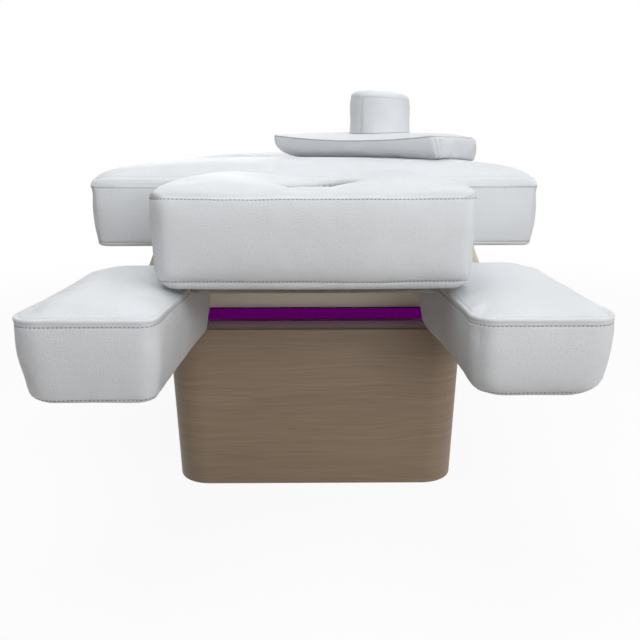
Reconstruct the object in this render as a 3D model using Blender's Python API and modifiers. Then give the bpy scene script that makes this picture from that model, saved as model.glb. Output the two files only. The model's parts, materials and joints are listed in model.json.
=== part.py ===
"""Electric facial bed: hinged head, back, seat and leg sections on a lifting base.

Metres, +Z up. The head end points to -Y, the foot end to +Y. The origin is on
the floor, under the middle of the bed's outer box. Everything is modelled in
the rest pose: flat, lowered, arm pads straight ahead.
"""

import math

import bmesh
import bpy
from mathutils import Matrix, Vector

# General clearances
SEAT_GAP = 0.0003        # between pieces that touch
RUN_GAP = 0.0006         # beside pieces that turn or slide

# Mattress sections
HEAD_WIDTH = 0.431
HEAD_LENGTH = 0.289
HEAD_THICK = 0.118
HEAD_CROWN = 0.026
HEAD_DIP = 0.016         # how far the face hole draws the top down
HOLE_RADIUS = 0.064
BED_WIDTH = 0.778
BACK_LENGTH = 0.540
SEAT_LENGTH = 0.360
LEG_LENGTH = 0.620
BED_THICK = 0.0925
BED_CROWN = 0.050
BACK_CROWN = 0.042
SECTION_GAP = 0.012
SEAM_HEIGHT = 0.5525     # height of the top seam above the floor
CUSHION_CORNER = 0.022
SIDE_PULL = 0.003        # sides drawn in between the corners
SIDE_TUCK = 0.005        # underside narrower than the seam, each side
BOARD_THICK = 0.012
BOARD_INSET = 0.015
HEAD_BOARD_CLEAR = 0.0035 # head board to the arm pads beside it

# Arm pads
ARM_WIDTH = 0.196
ARM_LENGTH = 0.373
ARM_THICK = 0.100
ARM_CROWN = 0.012
ARM_CORNER = 0.045
ARM_DROP = 0.0165        # pad's seam below the head section's underside
ARM_OFFSET = 0.276       # pad centre from the bed's middle
ARM_END_GAP = 0.043      # pads' far end in front of the back section
ARM_BOARD_INSET = 0.020
TONGUE_WIDTH = 0.060
TONGUE_THICK = 0.006
PIVOT_CLEAR = 0.007      # arm tongue to the base beside it
PIVOT_BEHIND = 0.072     # pivot behind the pad's far end
PIVOT_RADIUS = 0.006
PIVOT_HEAD = 0.012
HANGER_PLATE = 0.006
HANGER_COVER_GAP = 0.001
HANGER_TOP_WIDTH = 0.033
HANGER_DEPTH = 0.060

# Base cabinet
BASE_WIDTH = 0.542
BASE_AHEAD = 0.033       # head face in front of the back section
BASE_FOOT_GAP = 0.021    # foot face in front of the leg hinge
BASE_CORNER = 0.065
SEAM_ABOVE_BASE = 0.2475 # mattress seam above the cabinet's top
BASE_CLEAR = 0.003       # shadow gap at the floor
BASE_TAPER = 0.009       # drawn in at the floor, each side
BASE_WALL = 0.018
BASE_RETURN = 0.020      # straight run of an end panel past its corner
RIM_THICK = 0.014
RIM_INSET = 0.004
LED_INSET = 0.022
LED_WALL = 0.006
LED_HEIGHT = 0.0176
FOOT_RADIUS = 0.024
FOOT_HEIGHT = 0.0055
FOOT_INSET = 0.060
FLOOR_PLATE = 0.012

# Upper frame and cover
COVER_INSET = 0.026      # sides inside the base's sides
COVER_SETBACK = 0.036    # behind the base's head face
COVER_FOOT_GAP = 0.039   # foot panel in front of the leg hinge
COVER_WALL = 0.003
RAIL_WIDTH = 0.025
CROSS_WIDTH = 0.100

# Lifting columns
COLUMN_SIZE = 0.100
COLUMN_WALL = 0.004
COLUMN_BEHIND = 0.153    # second column behind the back hinge
COLUMN_FIRST = 0.232     # first column behind the base's head face
COLUMN_HEADROOM = 0.0203 # middle stage to the frame above it
STAGE_STEP = 0.014       # each inner stage starts this much higher

# Hinges
KNUCKLE_RADIUS = 0.0057
LEAF_THICK = 0.002
PIN_RADIUS = 0.0025
HINGE_HALF = 0.160
HINGE_KNUCKLES = 5
HINGE_ABOVE_SEAM = 0.0035
LEG_LEAF_REACH = 0.034

# Actuators
ACTUATOR_OFFSET = 0.110
TUBE_RADIUS = 0.020
ROD_RADIUS = 0.009
NOSE_RADIUS = 0.015
NOSE_WIDTH = 0.030
LEVER_WIDTH = 0.030
LEVER_PLATE = 0.018
BACK_LEVER_DEPTH = 0.162     # rod below the back hinge
BACK_LEVER_LEAN = math.radians(25)
BACK_LEVER_TIP = 0.205
TUBE_END_GAP = 0.0026        # back actuator to the cover's foot panel
BACK_NOSE_PLAY = 0.005
LEG_LEVER_DEPTH = 0.075      # rod below the leg hinge
LEG_LEVER_LEAN = math.radians(17.5)
LEG_LEVER_TIP = 0.092
LEG_TUBE_TAIL = 0.0254       # tube past the middle of its cross member
LEG_ROD_REACH = 0.070        # rod shown in front of the leg actuator's tube
LEG_NOSE_PLAY = 0.002
MOTOR_RADIUS = 0.026
MOTOR_LENGTH = 0.090
WINDOW_MARGIN = 0.010

# Electrics in the base
CONTROL_SIZE = (0.120, 0.180, 0.070)
SOCKET_SIZE = (0.080, 0.004, 0.050)
SOCKET_HEIGHT = 0.090

# Loose pieces
PILLOW_LENGTH = 0.342
PILLOW_WIDTH = 0.240
PILLOW_THICK = 0.037
PILLOW_DISH = 0.0102      # ends stand this much above the middle
PILLOW_TUCK = 0.006
PILLOW_FRONT_CUT = 0.050  # the underside's front edge, behind the top seam
PILLOW_LEFT_CUT = 0.026
PILLOW_SINK_GAP = 0.0009 # under the pillow, where it follows the back's crown
PILLOW_CORNER = 0.014
PILLOW_TURN = math.radians(-30)
PILLOW_OFFSET = 0.126
PILLOW_BEHIND = 0.262    # pillow centre behind the back section's near end
PLUG_RADIUS = 0.0615
PLUG_HEIGHT = 0.0945
PLUG_DOME = 0.010
PLUG_OFFSET = 0.134

# Across the bed: the cover stands inside the base, the arms turn just outside
COVER_WIDTH = BASE_WIDTH - 2 * COVER_INSET
PIVOT_OFFSET = BASE_WIDTH / 2 + PIVOT_CLEAR + TONGUE_WIDTH / 2
HANGER_TOP_IN = COVER_WIDTH / 2 + HANGER_COVER_GAP + HANGER_PLATE
HANGER_TOP_OUT = HANGER_TOP_IN + HANGER_TOP_WIDTH

# Heights, from the seam down
BED_UNDER = SEAM_HEIGHT - BED_THICK
BOARD_TOP = BED_UNDER - SEAT_GAP
BOARD_UNDER = BOARD_TOP - BOARD_THICK
FRAME_TOP = BOARD_UNDER - SEAT_GAP
FRAME_UNDER = FRAME_TOP - RAIL_WIDTH
HEAD_UNDER = SEAM_HEIGHT - HEAD_THICK
HEAD_BOARD_TOP = HEAD_UNDER - SEAT_GAP
HEAD_BOARD_UNDER = HEAD_BOARD_TOP - BOARD_THICK
ARM_TOP = HEAD_UNDER - ARM_DROP
ARM_UNDER = ARM_TOP - ARM_THICK
ARM_BOARD_TOP = ARM_UNDER - SEAT_GAP
ARM_BOARD_UNDER = ARM_BOARD_TOP - BOARD_THICK
BASE_TOP = SEAM_HEIGHT - SEAM_ABOVE_BASE
RIM_UNDER = BASE_TOP + SEAT_GAP
RIM_TOP = RIM_UNDER + RIM_THICK
LED_UNDER = RIM_TOP + SEAT_GAP
LED_TOP = LED_UNDER + LED_HEIGHT
COVER_UNDER = LED_TOP + SEAT_GAP
PLATE_UNDER = FOOT_HEIGHT + SEAT_GAP
PLATE_TOP = PLATE_UNDER + FLOOR_PLATE
HINGE_Z = SEAM_HEIGHT + HINGE_ABOVE_SEAM
LEG_HINGE_Z = FRAME_TOP - KNUCKLE_RADIUS
COLUMN_UNDER = PLATE_TOP + SEAT_GAP
COLUMN_HEIGHT = FRAME_UNDER - COLUMN_HEADROOM - STAGE_STEP - COLUMN_UNDER

# Places along the bed, from the arm pads' near end to the foot end
SECTIONS = HEAD_LENGTH + BACK_LENGTH + SEAT_LENGTH + LEG_LENGTH
ARM_REACH = ARM_LENGTH + ARM_END_GAP - HEAD_LENGTH - SECTION_GAP
TOTAL_LENGTH = ARM_REACH + SECTIONS + 3 * SECTION_GAP
ARM_NEAR = -TOTAL_LENGTH / 2
HEAD_NEAR = ARM_NEAR + ARM_REACH
BACK_NEAR = HEAD_NEAR + HEAD_LENGTH + SECTION_GAP
SEAT_NEAR = BACK_NEAR + BACK_LENGTH + SECTION_GAP
LEG_NEAR = SEAT_NEAR + SEAT_LENGTH + SECTION_GAP
HEAD_AXIS_Y = BACK_NEAR - SECTION_GAP / 2
BACK_AXIS_Y = SEAT_NEAR - SECTION_GAP / 2
LEG_AXIS_Y = LEG_NEAR - SECTION_GAP / 2
BASE_NEAR = BACK_NEAR - BASE_AHEAD
BASE_LENGTH = LEG_AXIS_Y - BASE_FOOT_GAP - BASE_NEAR
BASE_MID = BASE_NEAR + BASE_LENGTH / 2
COVER_NEAR = BASE_NEAR + COVER_SETBACK
COVER_FAR = LEG_AXIS_Y - COVER_FOOT_GAP
COLUMN_YS = (BASE_NEAR + COLUMN_FIRST, BACK_AXIS_Y + COLUMN_BEHIND)
PIVOT_Y = ARM_NEAR + ARM_LENGTH + PIVOT_BEHIND

# Finish of each kind of piece: colour, roughness, metallic
FINISHES = {
    "leather": ((0.86, 0.87, 0.88), 0.45, 0.0),
    "board": ((0.05, 0.05, 0.05), 0.70, 0.0),
    "wood": ((0.30, 0.23, 0.16), 0.45, 0.0),
    "rim": ((0.16, 0.11, 0.10), 0.50, 0.0),
    "cream": ((0.62, 0.58, 0.46), 0.45, 0.0),
    "led": ((0.30, 0.02, 0.35), 0.30, 0.0),
    "steel": ((0.35, 0.36, 0.38), 0.40, 0.9),
    "chrome": ((0.75, 0.76, 0.78), 0.15, 1.0),
    "black": ((0.03, 0.03, 0.03), 0.50, 0.0),
    "rubber": ((0.02, 0.02, 0.02), 0.85, 0.0),
}


def clear_scene():
    for item in list(bpy.data.objects):
        bpy.data.objects.remove(item, do_unlink=True)


def make_collection(name):
    group = bpy.data.collections.new(name)
    bpy.context.scene.collection.children.link(group)
    return group


def make_finish(name):
    colour, roughness, metallic = FINISHES[name]
    finish = bpy.data.materials.new(name)
    finish.use_nodes = True
    shader = finish.node_tree.nodes["Principled BSDF"]
    shader.inputs["Base Color"].default_value = (*colour, 1.0)
    shader.inputs["Roughness"].default_value = roughness
    shader.inputs["Metallic"].default_value = metallic
    return finish


clear_scene()
PARTS = make_collection("electric_facial_bed")
CUTTERS = make_collection("cutters")
MATERIALS = {name: make_finish(name) for name in FINISHES}


def make_empty(name, place, parent=None):
    """An empty on a joint's axis, which the moving pieces hang from."""
    empty = bpy.data.objects.new(name, None)
    PARTS.objects.link(empty)
    empty.location = place
    if parent:
        empty.parent = parent
        empty.location = Vector(place) - parent.matrix_world.translation
    bpy.context.view_layer.update()
    return empty


def add_object(name, mesh, matrix=None):
    item = bpy.data.objects.new(name, mesh)
    PARTS.objects.link(item)
    if matrix is not None:
        item.matrix_world = matrix
    return item


def hang(item, finish, carrier, smooth=False):
    """Give a piece its finish and parent it to its carrier where it stands."""
    item.data.materials.append(MATERIALS[finish])
    bpy.context.view_layer.update()
    item.parent = carrier
    item.matrix_parent_inverse = carrier.matrix_world.inverted()
    if smooth:
        item.data.shade_smooth()
        item.data.set_sharp_from_angle(angle=math.radians(35))
    return item


def box(name, low, high):
    bm = bmesh.new()
    bmesh.ops.create_cube(bm, size=1.0)
    size = Vector(high) - Vector(low)
    bmesh.ops.scale(bm, vec=size, verts=bm.verts)
    mesh = bpy.data.meshes.new(name)
    bm.to_mesh(mesh)
    bm.free()
    centre = (Vector(low) + Vector(high)) / 2
    return add_object(name, mesh, Matrix.Translation(centre))


def cylinder(name, radius, length, centre, axis="Z", sides=20):
    bm = bmesh.new()
    bmesh.ops.create_cone(bm, cap_ends=True, segments=sides, radius1=radius,
                          radius2=radius, depth=length)
    mesh = bpy.data.meshes.new(name)
    bm.to_mesh(mesh)
    bm.free()
    turn = {"X": Matrix.Rotation(math.pi / 2, 4, "Y"),
            "Y": Matrix.Rotation(math.pi / 2, 4, "X"),
            "Z": Matrix.Identity(4)}[axis]
    return add_object(name, mesh, Matrix.Translation(centre) @ turn)


def prism(name, loops, thickness, place):
    """A flat outline, with any holes, thickened evenly about its plane."""
    curve = bpy.data.curves.new(name, "CURVE")
    curve.dimensions = "2D"
    curve.fill_mode = "BOTH"
    curve.extrude = thickness / 2
    for loop in loops:
        spline = curve.splines.new("POLY")
        spline.points.add(len(loop) - 1)
        for point, (u, v) in zip(spline.points, loop):
            point.co = (u, v, 0.0, 1.0)
        spline.use_cyclic_u = True
    drawn = bpy.data.objects.new(name + "_outline", curve)
    PARTS.objects.link(drawn)
    bpy.context.view_layer.update()
    graph = bpy.context.evaluated_depsgraph_get()
    mesh = bpy.data.meshes.new_from_object(drawn.evaluated_get(graph))
    bpy.data.objects.remove(drawn, do_unlink=True)
    bm = bmesh.new()
    bm.from_mesh(mesh)
    bmesh.ops.remove_doubles(bm, verts=bm.verts, dist=0.00001)
    bmesh.ops.recalc_face_normals(bm, faces=bm.faces)
    bm.to_mesh(mesh)
    bm.free()
    return add_object(name, mesh, place)


def facing_z(height):
    """Outline in X and Y."""
    return Matrix.Translation((0, 0, height))


def facing_x(offset):
    """Outline in Y and Z."""
    return Matrix(((0, 0, 1, offset), (1, 0, 0, 0), (0, 1, 0, 0), (0, 0, 0, 1)))


def facing_y(offset):
    """Outline in X and Z."""
    return Matrix(((1, 0, 0, 0), (0, 0, -1, offset), (0, 1, 0, 0), (0, 0, 0, 1)))


def rectangle(x0, x1, y0, y1):
    return [(x0, y0), (x1, y0), (x1, y1), (x0, y1)]


def arc(centre, radius, start, stop, steps=6):
    angles = [start + (stop - start) * i / steps for i in range(steps + 1)]
    return [(centre[0] + radius * math.cos(a), centre[1] + radius * math.sin(a))
            for a in angles]


def rounded(x0, x1, y0, y1, radius):
    quarter = math.pi / 2
    corners = ((x1 - radius, y1 - radius), (x0 + radius, y1 - radius),
               (x0 + radius, y0 + radius), (x1 - radius, y0 + radius))
    loop = []
    for turn, centre in enumerate(corners):
        loop += arc(centre, radius, turn * quarter, (turn + 1) * quarter)
    return loop


def combine(item, other, operation):
    """Fuse another solid into a piece, or cut it out of the piece."""
    change = item.modifiers.new(other.name, "BOOLEAN")
    change.operation = operation
    change.solver = "EXACT"
    change.object = other
    PARTS.objects.unlink(other)
    CUTTERS.objects.link(other)
    other.hide_render = True
    other.display_type = "WIRE"


def fuse(item, *others):
    for other in others:
        combine(item, other, "UNION")
    return item


def cut(item, *others):
    for other in others:
        combine(item, other, "DIFFERENCE")
    return item


# Soft forms

def spread(value):
    """Move an even division towards the edges, where a cushion curves most."""
    return math.copysign(1 - (1 - abs(value)) ** 1.5, value)


def dome(u, v):
    """Height of a stuffed top as a share of its crown, none at the seam."""
    return (1 - u ** 4) * (1 - v ** 4)


def rounded_place(u, v, half_x, half_y, corner):
    """Where a point of a square lands on a rectangle with round corners."""
    ring = max(abs(u), abs(v))
    x, y = u * half_x, v * half_y
    limit_x = ring * (half_x - corner)
    limit_y = ring * (half_y - corner)
    core_x = max(-limit_x, min(limit_x, x))
    core_y = max(-limit_y, min(limit_y, y))
    away = math.hypot(x - core_x, y - core_y)
    if away > 1e-9:
        stretch = ring * corner / away
        x = core_x + (x - core_x) * stretch
        y = core_y + (y - core_y) * stretch
    return x, y


def cushion(name, width, length, thick, corner, rise, centre, seam, cuts,
            tuck=SIDE_TUCK):
    """A boxed cushion: crowned top, sides drawn in between the corners.

    rise(u, v) is the height of the top above the seam, with u and v from -1
    to 1 across the cushion and along it.
    """
    bm = bmesh.new()
    bmesh.ops.create_cube(bm, size=2.0)
    for axis, count in enumerate(cuts):
        runs = [e for e in bm.edges
                if abs(e.verts[0].co[axis] - e.verts[1].co[axis]) > 1.9]
        bmesh.ops.subdivide_edges(bm, edges=runs, cuts=count, use_grid_fill=True)
    for vert in bm.verts:
        u, v, w = spread(vert.co.x), spread(vert.co.y), vert.co.z
        inset = tuck * (1 - w) / 2
        half_x, half_y = width / 2 - inset, length / 2 - inset
        x, y = rounded_place(u, v, half_x, half_y, corner)
        x -= u ** 3 * SIDE_PULL * (1 - (y / half_y) ** 2)
        y -= v ** 3 * SIDE_PULL * (1 - (x / half_x) ** 2)
        z = seam - thick * (1 - w) / 2
        if w > 0.99:
            z += rise(u, v)
        vert.co = (x, y, z)
    wide = max(abs(vert.co.x) for vert in bm.verts)
    long = max(abs(vert.co.y) for vert in bm.verts)
    bmesh.ops.scale(bm, vec=(width / 2 / wide, length / 2 / long, 1), verts=bm.verts)
    bmesh.ops.recalc_face_normals(bm, faces=bm.faces)
    mesh = bpy.data.meshes.new(name)
    bm.to_mesh(mesh)
    bm.free()
    return add_object(name, mesh, Matrix.Translation((centre[0], centre[1], 0)))


def bed_rise(u, v):
    return BED_CROWN * dome(u, v)


def back_rise(u, v):
    return BACK_CROWN * dome(u, v)


def arm_rise(u, v):
    return ARM_CROWN * dome(u, v)


def head_rise(u, v):
    """Two humps beside a dip that the face hole draws in."""
    across = u * HEAD_WIDTH / 2 / HOLE_RADIUS
    along = v * HEAD_LENGTH / 2 / HOLE_RADIUS
    drawn = math.exp(-(across ** 2 + 0.35 * along ** 2) / 1.4)
    return dome(u, v) * (HEAD_CROWN - HEAD_DIP * drawn)


def pillow_rise(u, v):
    """A top, and its front and back seams, that dip between two high ends."""
    return PILLOW_DISH * (u * u - 1) * (1 - 0.1 * v * v)


# Bodies: one empty on each joint's axis
BASE = make_empty("base_frame", (0, 0, 0))
LIFT_MIDDLE = make_empty("lift_middle_axis", (0, BASE_MID, PLATE_TOP), BASE)
LIFT = make_empty("lift_axis", (0, BASE_MID, FRAME_UNDER), BASE)
BACK = make_empty("back_axis", (0, BACK_AXIS_Y, HINGE_Z), LIFT)
HEAD = make_empty("head_axis", (0, HEAD_AXIS_Y, HINGE_Z), BACK)
LEG = make_empty("leg_axis", (0, LEG_AXIS_Y, LEG_HINGE_Z), LIFT)
ARMS = {side: make_empty(f"arm_{side}_axis", (sign * PIVOT_OFFSET, PIVOT_Y, ARM_UNDER), BACK)
        for side, sign in (("left", -1), ("right", 1))}
BACK_ROD = make_empty("back_rod_axis", (ACTUATOR_OFFSET, BACK_AXIS_Y,
                                        HINGE_Z - BACK_LEVER_DEPTH), LIFT)
LEG_ROD = make_empty("leg_rod_axis", (-ACTUATOR_OFFSET, LEG_AXIS_Y,
                                      LEG_HINGE_Z - LEG_LEVER_DEPTH), LIFT)
PILLOW_Y = BACK_NEAR + PILLOW_BEHIND
PILLOW = make_empty("pillow_axis", (PILLOW_OFFSET, PILLOW_Y, SEAM_HEIGHT + BACK_CROWN), BACK)
PLUG = make_empty("plug_axis", (PLUG_OFFSET, PILLOW_Y,
                                SEAM_HEIGHT + BACK_CROWN + PILLOW_THICK), PILLOW)


# Base cabinet

def base_half(height, inset=0.0):
    """Half width and half length of the base at a height, drawn in below."""
    drawn = BASE_TAPER * (BASE_TOP - height) / (BASE_TOP - BASE_CLEAR) + inset
    return BASE_WIDTH / 2 - drawn, BASE_LENGTH / 2 - drawn


def draw_in(item):
    """Narrow a wall of the base towards the floor."""
    top_x, top_y = base_half(BASE_TOP)
    middle = (BASE_TOP + BASE_CLEAR) / 2
    for vert in item.data.vertices:
        half_x, half_y = base_half(vert.co.z + middle)
        vert.co.x *= half_x / top_x
        vert.co.y *= half_y / top_y
    return item


def base_wall(name, loop):
    height = BASE_TOP - BASE_CLEAR
    wall = draw_in(prism(name, [loop], height, Matrix.Identity(4)))
    wall.location = (0, BASE_MID, BASE_CLEAR + height / 2)
    return wall


def end_outline(sign):
    """Plan of an end panel: a face, two round corners and two short returns."""
    half_x, half_y = BASE_WIDTH / 2, BASE_LENGTH / 2
    inner = BASE_CORNER - BASE_WALL
    stop = half_y - BASE_CORNER - BASE_RETURN
    left = (-half_x + BASE_CORNER, -half_y + BASE_CORNER)
    right = (half_x - BASE_CORNER, -half_y + BASE_CORNER)
    low, mid, high = math.pi, 1.5 * math.pi, 2 * math.pi
    loop = [(-half_x, -stop)]
    loop += arc(left, BASE_CORNER, low, mid) + arc(right, BASE_CORNER, mid, high)
    loop += [(half_x, -stop), (half_x - BASE_WALL, -stop)]
    loop += arc(right, inner, high, mid) + arc(left, inner, mid, low)
    loop += [(-half_x + BASE_WALL, -stop)]
    return [(x, -sign * y) for x, y in loop]


def side_outline(sign):
    half_x = BASE_WIDTH / 2
    stop = BASE_LENGTH / 2 - BASE_CORNER - BASE_RETURN - SEAT_GAP
    return rectangle(*sorted((sign * half_x, sign * (half_x - BASE_WALL))), -stop, stop)


def build_base():
    for name, sign in (("head", -1), ("foot", 1)):
        hang(base_wall(f"base_panel_{name}", end_outline(sign)), "wood", BASE)
    for name, sign in (("left", -1), ("right", 1)):
        hang(base_wall(f"base_panel_{name}", side_outline(sign)), "wood", BASE)
    half_x, half_y = base_half(PLATE_UNDER, BASE_WALL + SEAT_GAP)
    corner = BASE_CORNER - BASE_WALL
    loop = rounded(-half_x, half_x, BASE_MID - half_y, BASE_MID + half_y, corner)
    middle = (PLATE_UNDER + PLATE_TOP) / 2
    hang(prism("base_floor_plate", [loop], FLOOR_PLATE, facing_z(middle)), "steel", BASE)
    for y_sign, end in ((-1, "head"), (1, "foot")):
        for x_sign, side in ((-1, "left"), (1, "right")):
            place = (x_sign * (half_x - FOOT_INSET),
                     BASE_MID + y_sign * (half_y - FOOT_INSET), FOOT_HEIGHT / 2)
            foot = cylinder(f"foot_{end}_{side}", FOOT_RADIUS, FOOT_HEIGHT, place)
            hang(foot, "rubber", BASE, smooth=True)
    half_x, half_y = base_half(BASE_TOP, RIM_INSET)
    loop = rounded(-half_x, half_x, BASE_MID - half_y, BASE_MID + half_y,
                   BASE_CORNER - RIM_INSET)
    hole = COLUMN_SIZE / 2 + RUN_GAP
    holes = [rectangle(-hole, hole, y - hole, y + hole) for y in COLUMN_YS]
    middle = RIM_UNDER + RIM_THICK / 2
    hang(prism("base_top_board", [loop, *holes], RIM_THICK, facing_z(middle)), "rim", BASE)
    half_x, half_y = base_half(BASE_TOP, LED_INSET)
    for name, sign in (("head", -1), ("foot", 1)):
        face = BASE_MID + sign * half_y
        near, far = sorted((face, face - sign * LED_WALL))
        strip = box(f"led_strip_{name}", (-half_x, near, LED_UNDER), (half_x, far, LED_TOP))
        hang(strip, "led", BASE)
    run = half_y - LED_WALL - SEAT_GAP
    for name, sign in (("left", -1), ("right", 1)):
        low, high = sorted((sign * half_x, sign * (half_x - LED_WALL)))
        strip = box(f"led_strip_{name}", (low, BASE_MID - run, LED_UNDER),
                    (high, BASE_MID + run, LED_TOP))
        hang(strip, "led", BASE)


def build_electrics():
    wide, deep, high = CONTROL_SIZE
    middle = sum(COLUMN_YS) / 2
    low = PLATE_TOP + SEAT_GAP
    unit = box("control_box", (-wide / 2, middle - deep / 2, low),
               (wide / 2, middle + deep / 2, low + high))
    hang(unit, "black", BASE)
    wide, deep, high = SOCKET_SIZE
    lean = math.atan2(BASE_TAPER, BASE_TOP - BASE_CLEAR)
    face = BASE_MID + base_half(SOCKET_HEIGHT)[1] + deep / 2 + SEAT_GAP
    plate = box("socket_plate", (-wide / 2, -deep / 2, -high / 2),
                (wide / 2, deep / 2, high / 2))
    inlet = box("inlet_recess", (-wide * 0.36, deep * 0.1, -high * 0.3),
                (-wide * 0.02, deep, high * 0.3))
    jack = cylinder("handset_socket", high * 0.18, deep, (wide * 0.25, deep * 0.6, 0), "Y", 12)
    turn = Matrix.Translation((0, face, SOCKET_HEIGHT)) @ Matrix.Rotation(-lean, 4, "X")
    for item in (plate, inlet, jack):
        item.matrix_world = turn @ item.matrix_world
    cut(plate, inlet, jack)
    hang(plate, "black", BASE)


# Lifting columns

def square_tube(name, size, wall, y, low, high):
    half, bore = size / 2, size / 2 - wall
    loops = [rectangle(-half, half, y - half, y + half),
             rectangle(-bore, bore, y - bore, y + bore)]
    return prism(name, loops, high - low, facing_z((low + high) / 2))


def build_columns():
    step = 2 * (COLUMN_WALL + RUN_GAP)
    for y, end in zip(COLUMN_YS, ("head", "foot")):
        low = COLUMN_UNDER
        tube = square_tube(f"column_outer_{end}", COLUMN_SIZE, COLUMN_WALL, y,
                           low, low + COLUMN_HEIGHT)
        hang(tube, "steel", BASE)
        low += STAGE_STEP
        tube = square_tube(f"column_middle_{end}", COLUMN_SIZE - step, COLUMN_WALL, y,
                           low, low + COLUMN_HEIGHT)
        hang(tube, "chrome", LIFT_MIDDLE)
        low += STAGE_STEP
        tube = square_tube(f"column_inner_{end}", COLUMN_SIZE - 2 * step, COLUMN_WALL, y,
                           low, FRAME_UNDER - SEAT_GAP)
        hang(tube, "chrome", LIFT)


# Upper frame and cover

def build_frame():
    inner = COVER_WIDTH / 2 - COVER_WALL
    ends = (COVER_NEAR + COVER_WALL + SEAT_GAP, COVER_FAR - COVER_WALL - SEAT_GAP)
    outer = inner - SEAT_GAP
    for name, sign in (("left", -1), ("right", 1)):
        low, high = sorted((sign * outer, sign * (outer - RAIL_WIDTH)))
        rail = box(f"frame_rail_{name}", (low, ends[0], FRAME_UNDER), (high, ends[1], FRAME_TOP))
        hang(rail, "steel", LIFT)
    reach = outer - RAIL_WIDTH - SEAT_GAP
    for y, end in zip(COLUMN_YS, ("head", "foot")):
        cross = box(f"frame_cross_{end}", (-reach, y - CROSS_WIDTH / 2, FRAME_UNDER),
                    (reach, y + CROSS_WIDTH / 2, FRAME_TOP))
        hang(cross, "steel", LIFT)
    half = COVER_WIDTH / 2
    head = box("cover_panel_head", (-half, COVER_NEAR, COVER_UNDER),
               (half, COVER_NEAR + COVER_WALL, FRAME_TOP))
    hang(head, "cream", LIFT)
    foot = box("cover_panel_foot", (-half, COVER_FAR - COVER_WALL, COVER_UNDER),
               (half, COVER_FAR, FRAME_TOP))
    rod_z = LEG_HINGE_Z - LEG_LEVER_DEPTH
    reach = NOSE_RADIUS + WINDOW_MARGIN
    window = box("rod_window", (-ACTUATOR_OFFSET - reach, COVER_FAR - 2 * COVER_WALL, rod_z - reach),
                 (-ACTUATOR_OFFSET + reach, COVER_FAR + COVER_WALL, rod_z + reach))
    hang(cut(foot, window), "cream", LIFT)
    for name, sign in (("left", -1), ("right", 1)):
        low, high = sorted((sign * half, sign * (half - COVER_WALL)))
        side = box(f"cover_panel_{name}", (low, ends[0], COVER_UNDER), (high, ends[1], FRAME_TOP))
        hang(side, "cream", LIFT)


# Hinges

def hinge_leaf(name, axis, along, tangent, reach, first, pinned):
    """A leaf with every second knuckle; the pinned one holds the pin.

    along is the way the plate runs from the pin, tangent the side of the
    knuckles that it is flush with, both as (y, z).
    """
    along, tangent = Vector((0, *along)), Vector((0, *tangent))
    axis = Vector((0, *axis))
    across = Vector((1, 0, 0))

    def bar(part, x0, x1, start, stop, thick):
        bm = bmesh.new()
        bmesh.ops.create_cube(bm, size=1.0)
        bmesh.ops.scale(bm, vec=(x1 - x0, thick, stop - start), verts=bm.verts)
        mesh = bpy.data.meshes.new(part)
        bm.to_mesh(mesh)
        bm.free()
        turn = Matrix((across, along.cross(across), along)).transposed().to_4x4()
        centre = axis + across * (x0 + x1) / 2 + along * (start + stop) / 2
        centre += tangent * (KNUCKLE_RADIUS - LEAF_THICK / 2)
        return add_object(part, mesh, Matrix.Translation(centre) @ turn)

    start = KNUCKLE_RADIUS + RUN_GAP
    leaf = bar(name, -HINGE_HALF, HINGE_HALF, start, reach, LEAF_THICK)
    pitch = 2 * HINGE_HALF / HINGE_KNUCKLES
    for i in range(first, HINGE_KNUCKLES, 2):
        low = -HINGE_HALF + i * pitch + RUN_GAP
        high = low + pitch - 2 * RUN_GAP
        tab = bar(f"{name}_tab_{i}", low, high, 0, 2 * start, LEAF_THICK * 0.7)
        barrel = cylinder(f"{name}_knuckle_{i}", KNUCKLE_RADIUS, high - low,
                          axis + across * (low + high) / 2, "X", 12)
        fuse(leaf, tab, barrel)
    if pinned:
        pin = cylinder(f"{name}_pin", PIN_RADIUS, 2 * HINGE_HALF - 4 * RUN_GAP, axis, "X", 12)
        return fuse(leaf, pin)
    bore = cylinder(f"{name}_bore", PIN_RADIUS + SEAT_GAP, 2.2 * HINGE_HALF, axis, "X", 12)
    return cut(leaf, bore)


def build_hinges():
    down = (0, -1)
    back = (BACK_AXIS_Y, HINGE_Z)
    drop = HINGE_Z - BOARD_UNDER
    hang(hinge_leaf("back_hinge_leaf", back, down, (-1, 0), drop, 1, False), "steel", BACK)
    hang(hinge_leaf("seat_hinge_leaf", back, down, (1, 0), drop, 0, True), "steel", LIFT)
    head = (HEAD_AXIS_Y, HINGE_Z)
    fall = HINGE_Z - HEAD_BOARD_UNDER
    hang(hinge_leaf("head_hinge_leaf", head, down, (-1, 0), fall, 1, False), "steel", HEAD)
    hang(hinge_leaf("back_head_leaf", head, down, (1, 0), drop, 0, True), "steel", BACK)
    leg = (LEG_AXIS_Y, LEG_HINGE_Z)
    up = (0, 1)
    hang(hinge_leaf("leg_hinge_leaf", leg, (1, 0), up, LEG_LEAF_REACH, 1, False), "steel", LEG)
    hang(hinge_leaf("seat_leg_leaf", leg, (-1, 0), up, LEG_LEAF_REACH, 0, True), "steel", LIFT)


# Boards and cushions

def board_outline(half, near, far, near_tab, far_tab):
    """A board set in from its cushion, with tabs out to the hinges at its ends."""
    near_edge, far_edge = near + BOARD_INSET, far - BOARD_INSET
    loop = rounded(-half, half, near_edge, far_edge, CUSHION_CORNER)
    side = len(loop) // 4
    if near_tab:
        loop[3 * side:3 * side] = [(-HINGE_HALF, near_edge), (-HINGE_HALF, near),
                                   (HINGE_HALF, near), (HINGE_HALF, near_edge)]
    if far_tab:
        loop[side:side] = [(HINGE_HALF, far_edge), (HINGE_HALF, far),
                           (-HINGE_HALF, far), (-HINGE_HALF, far_edge)]
    return loop


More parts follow.
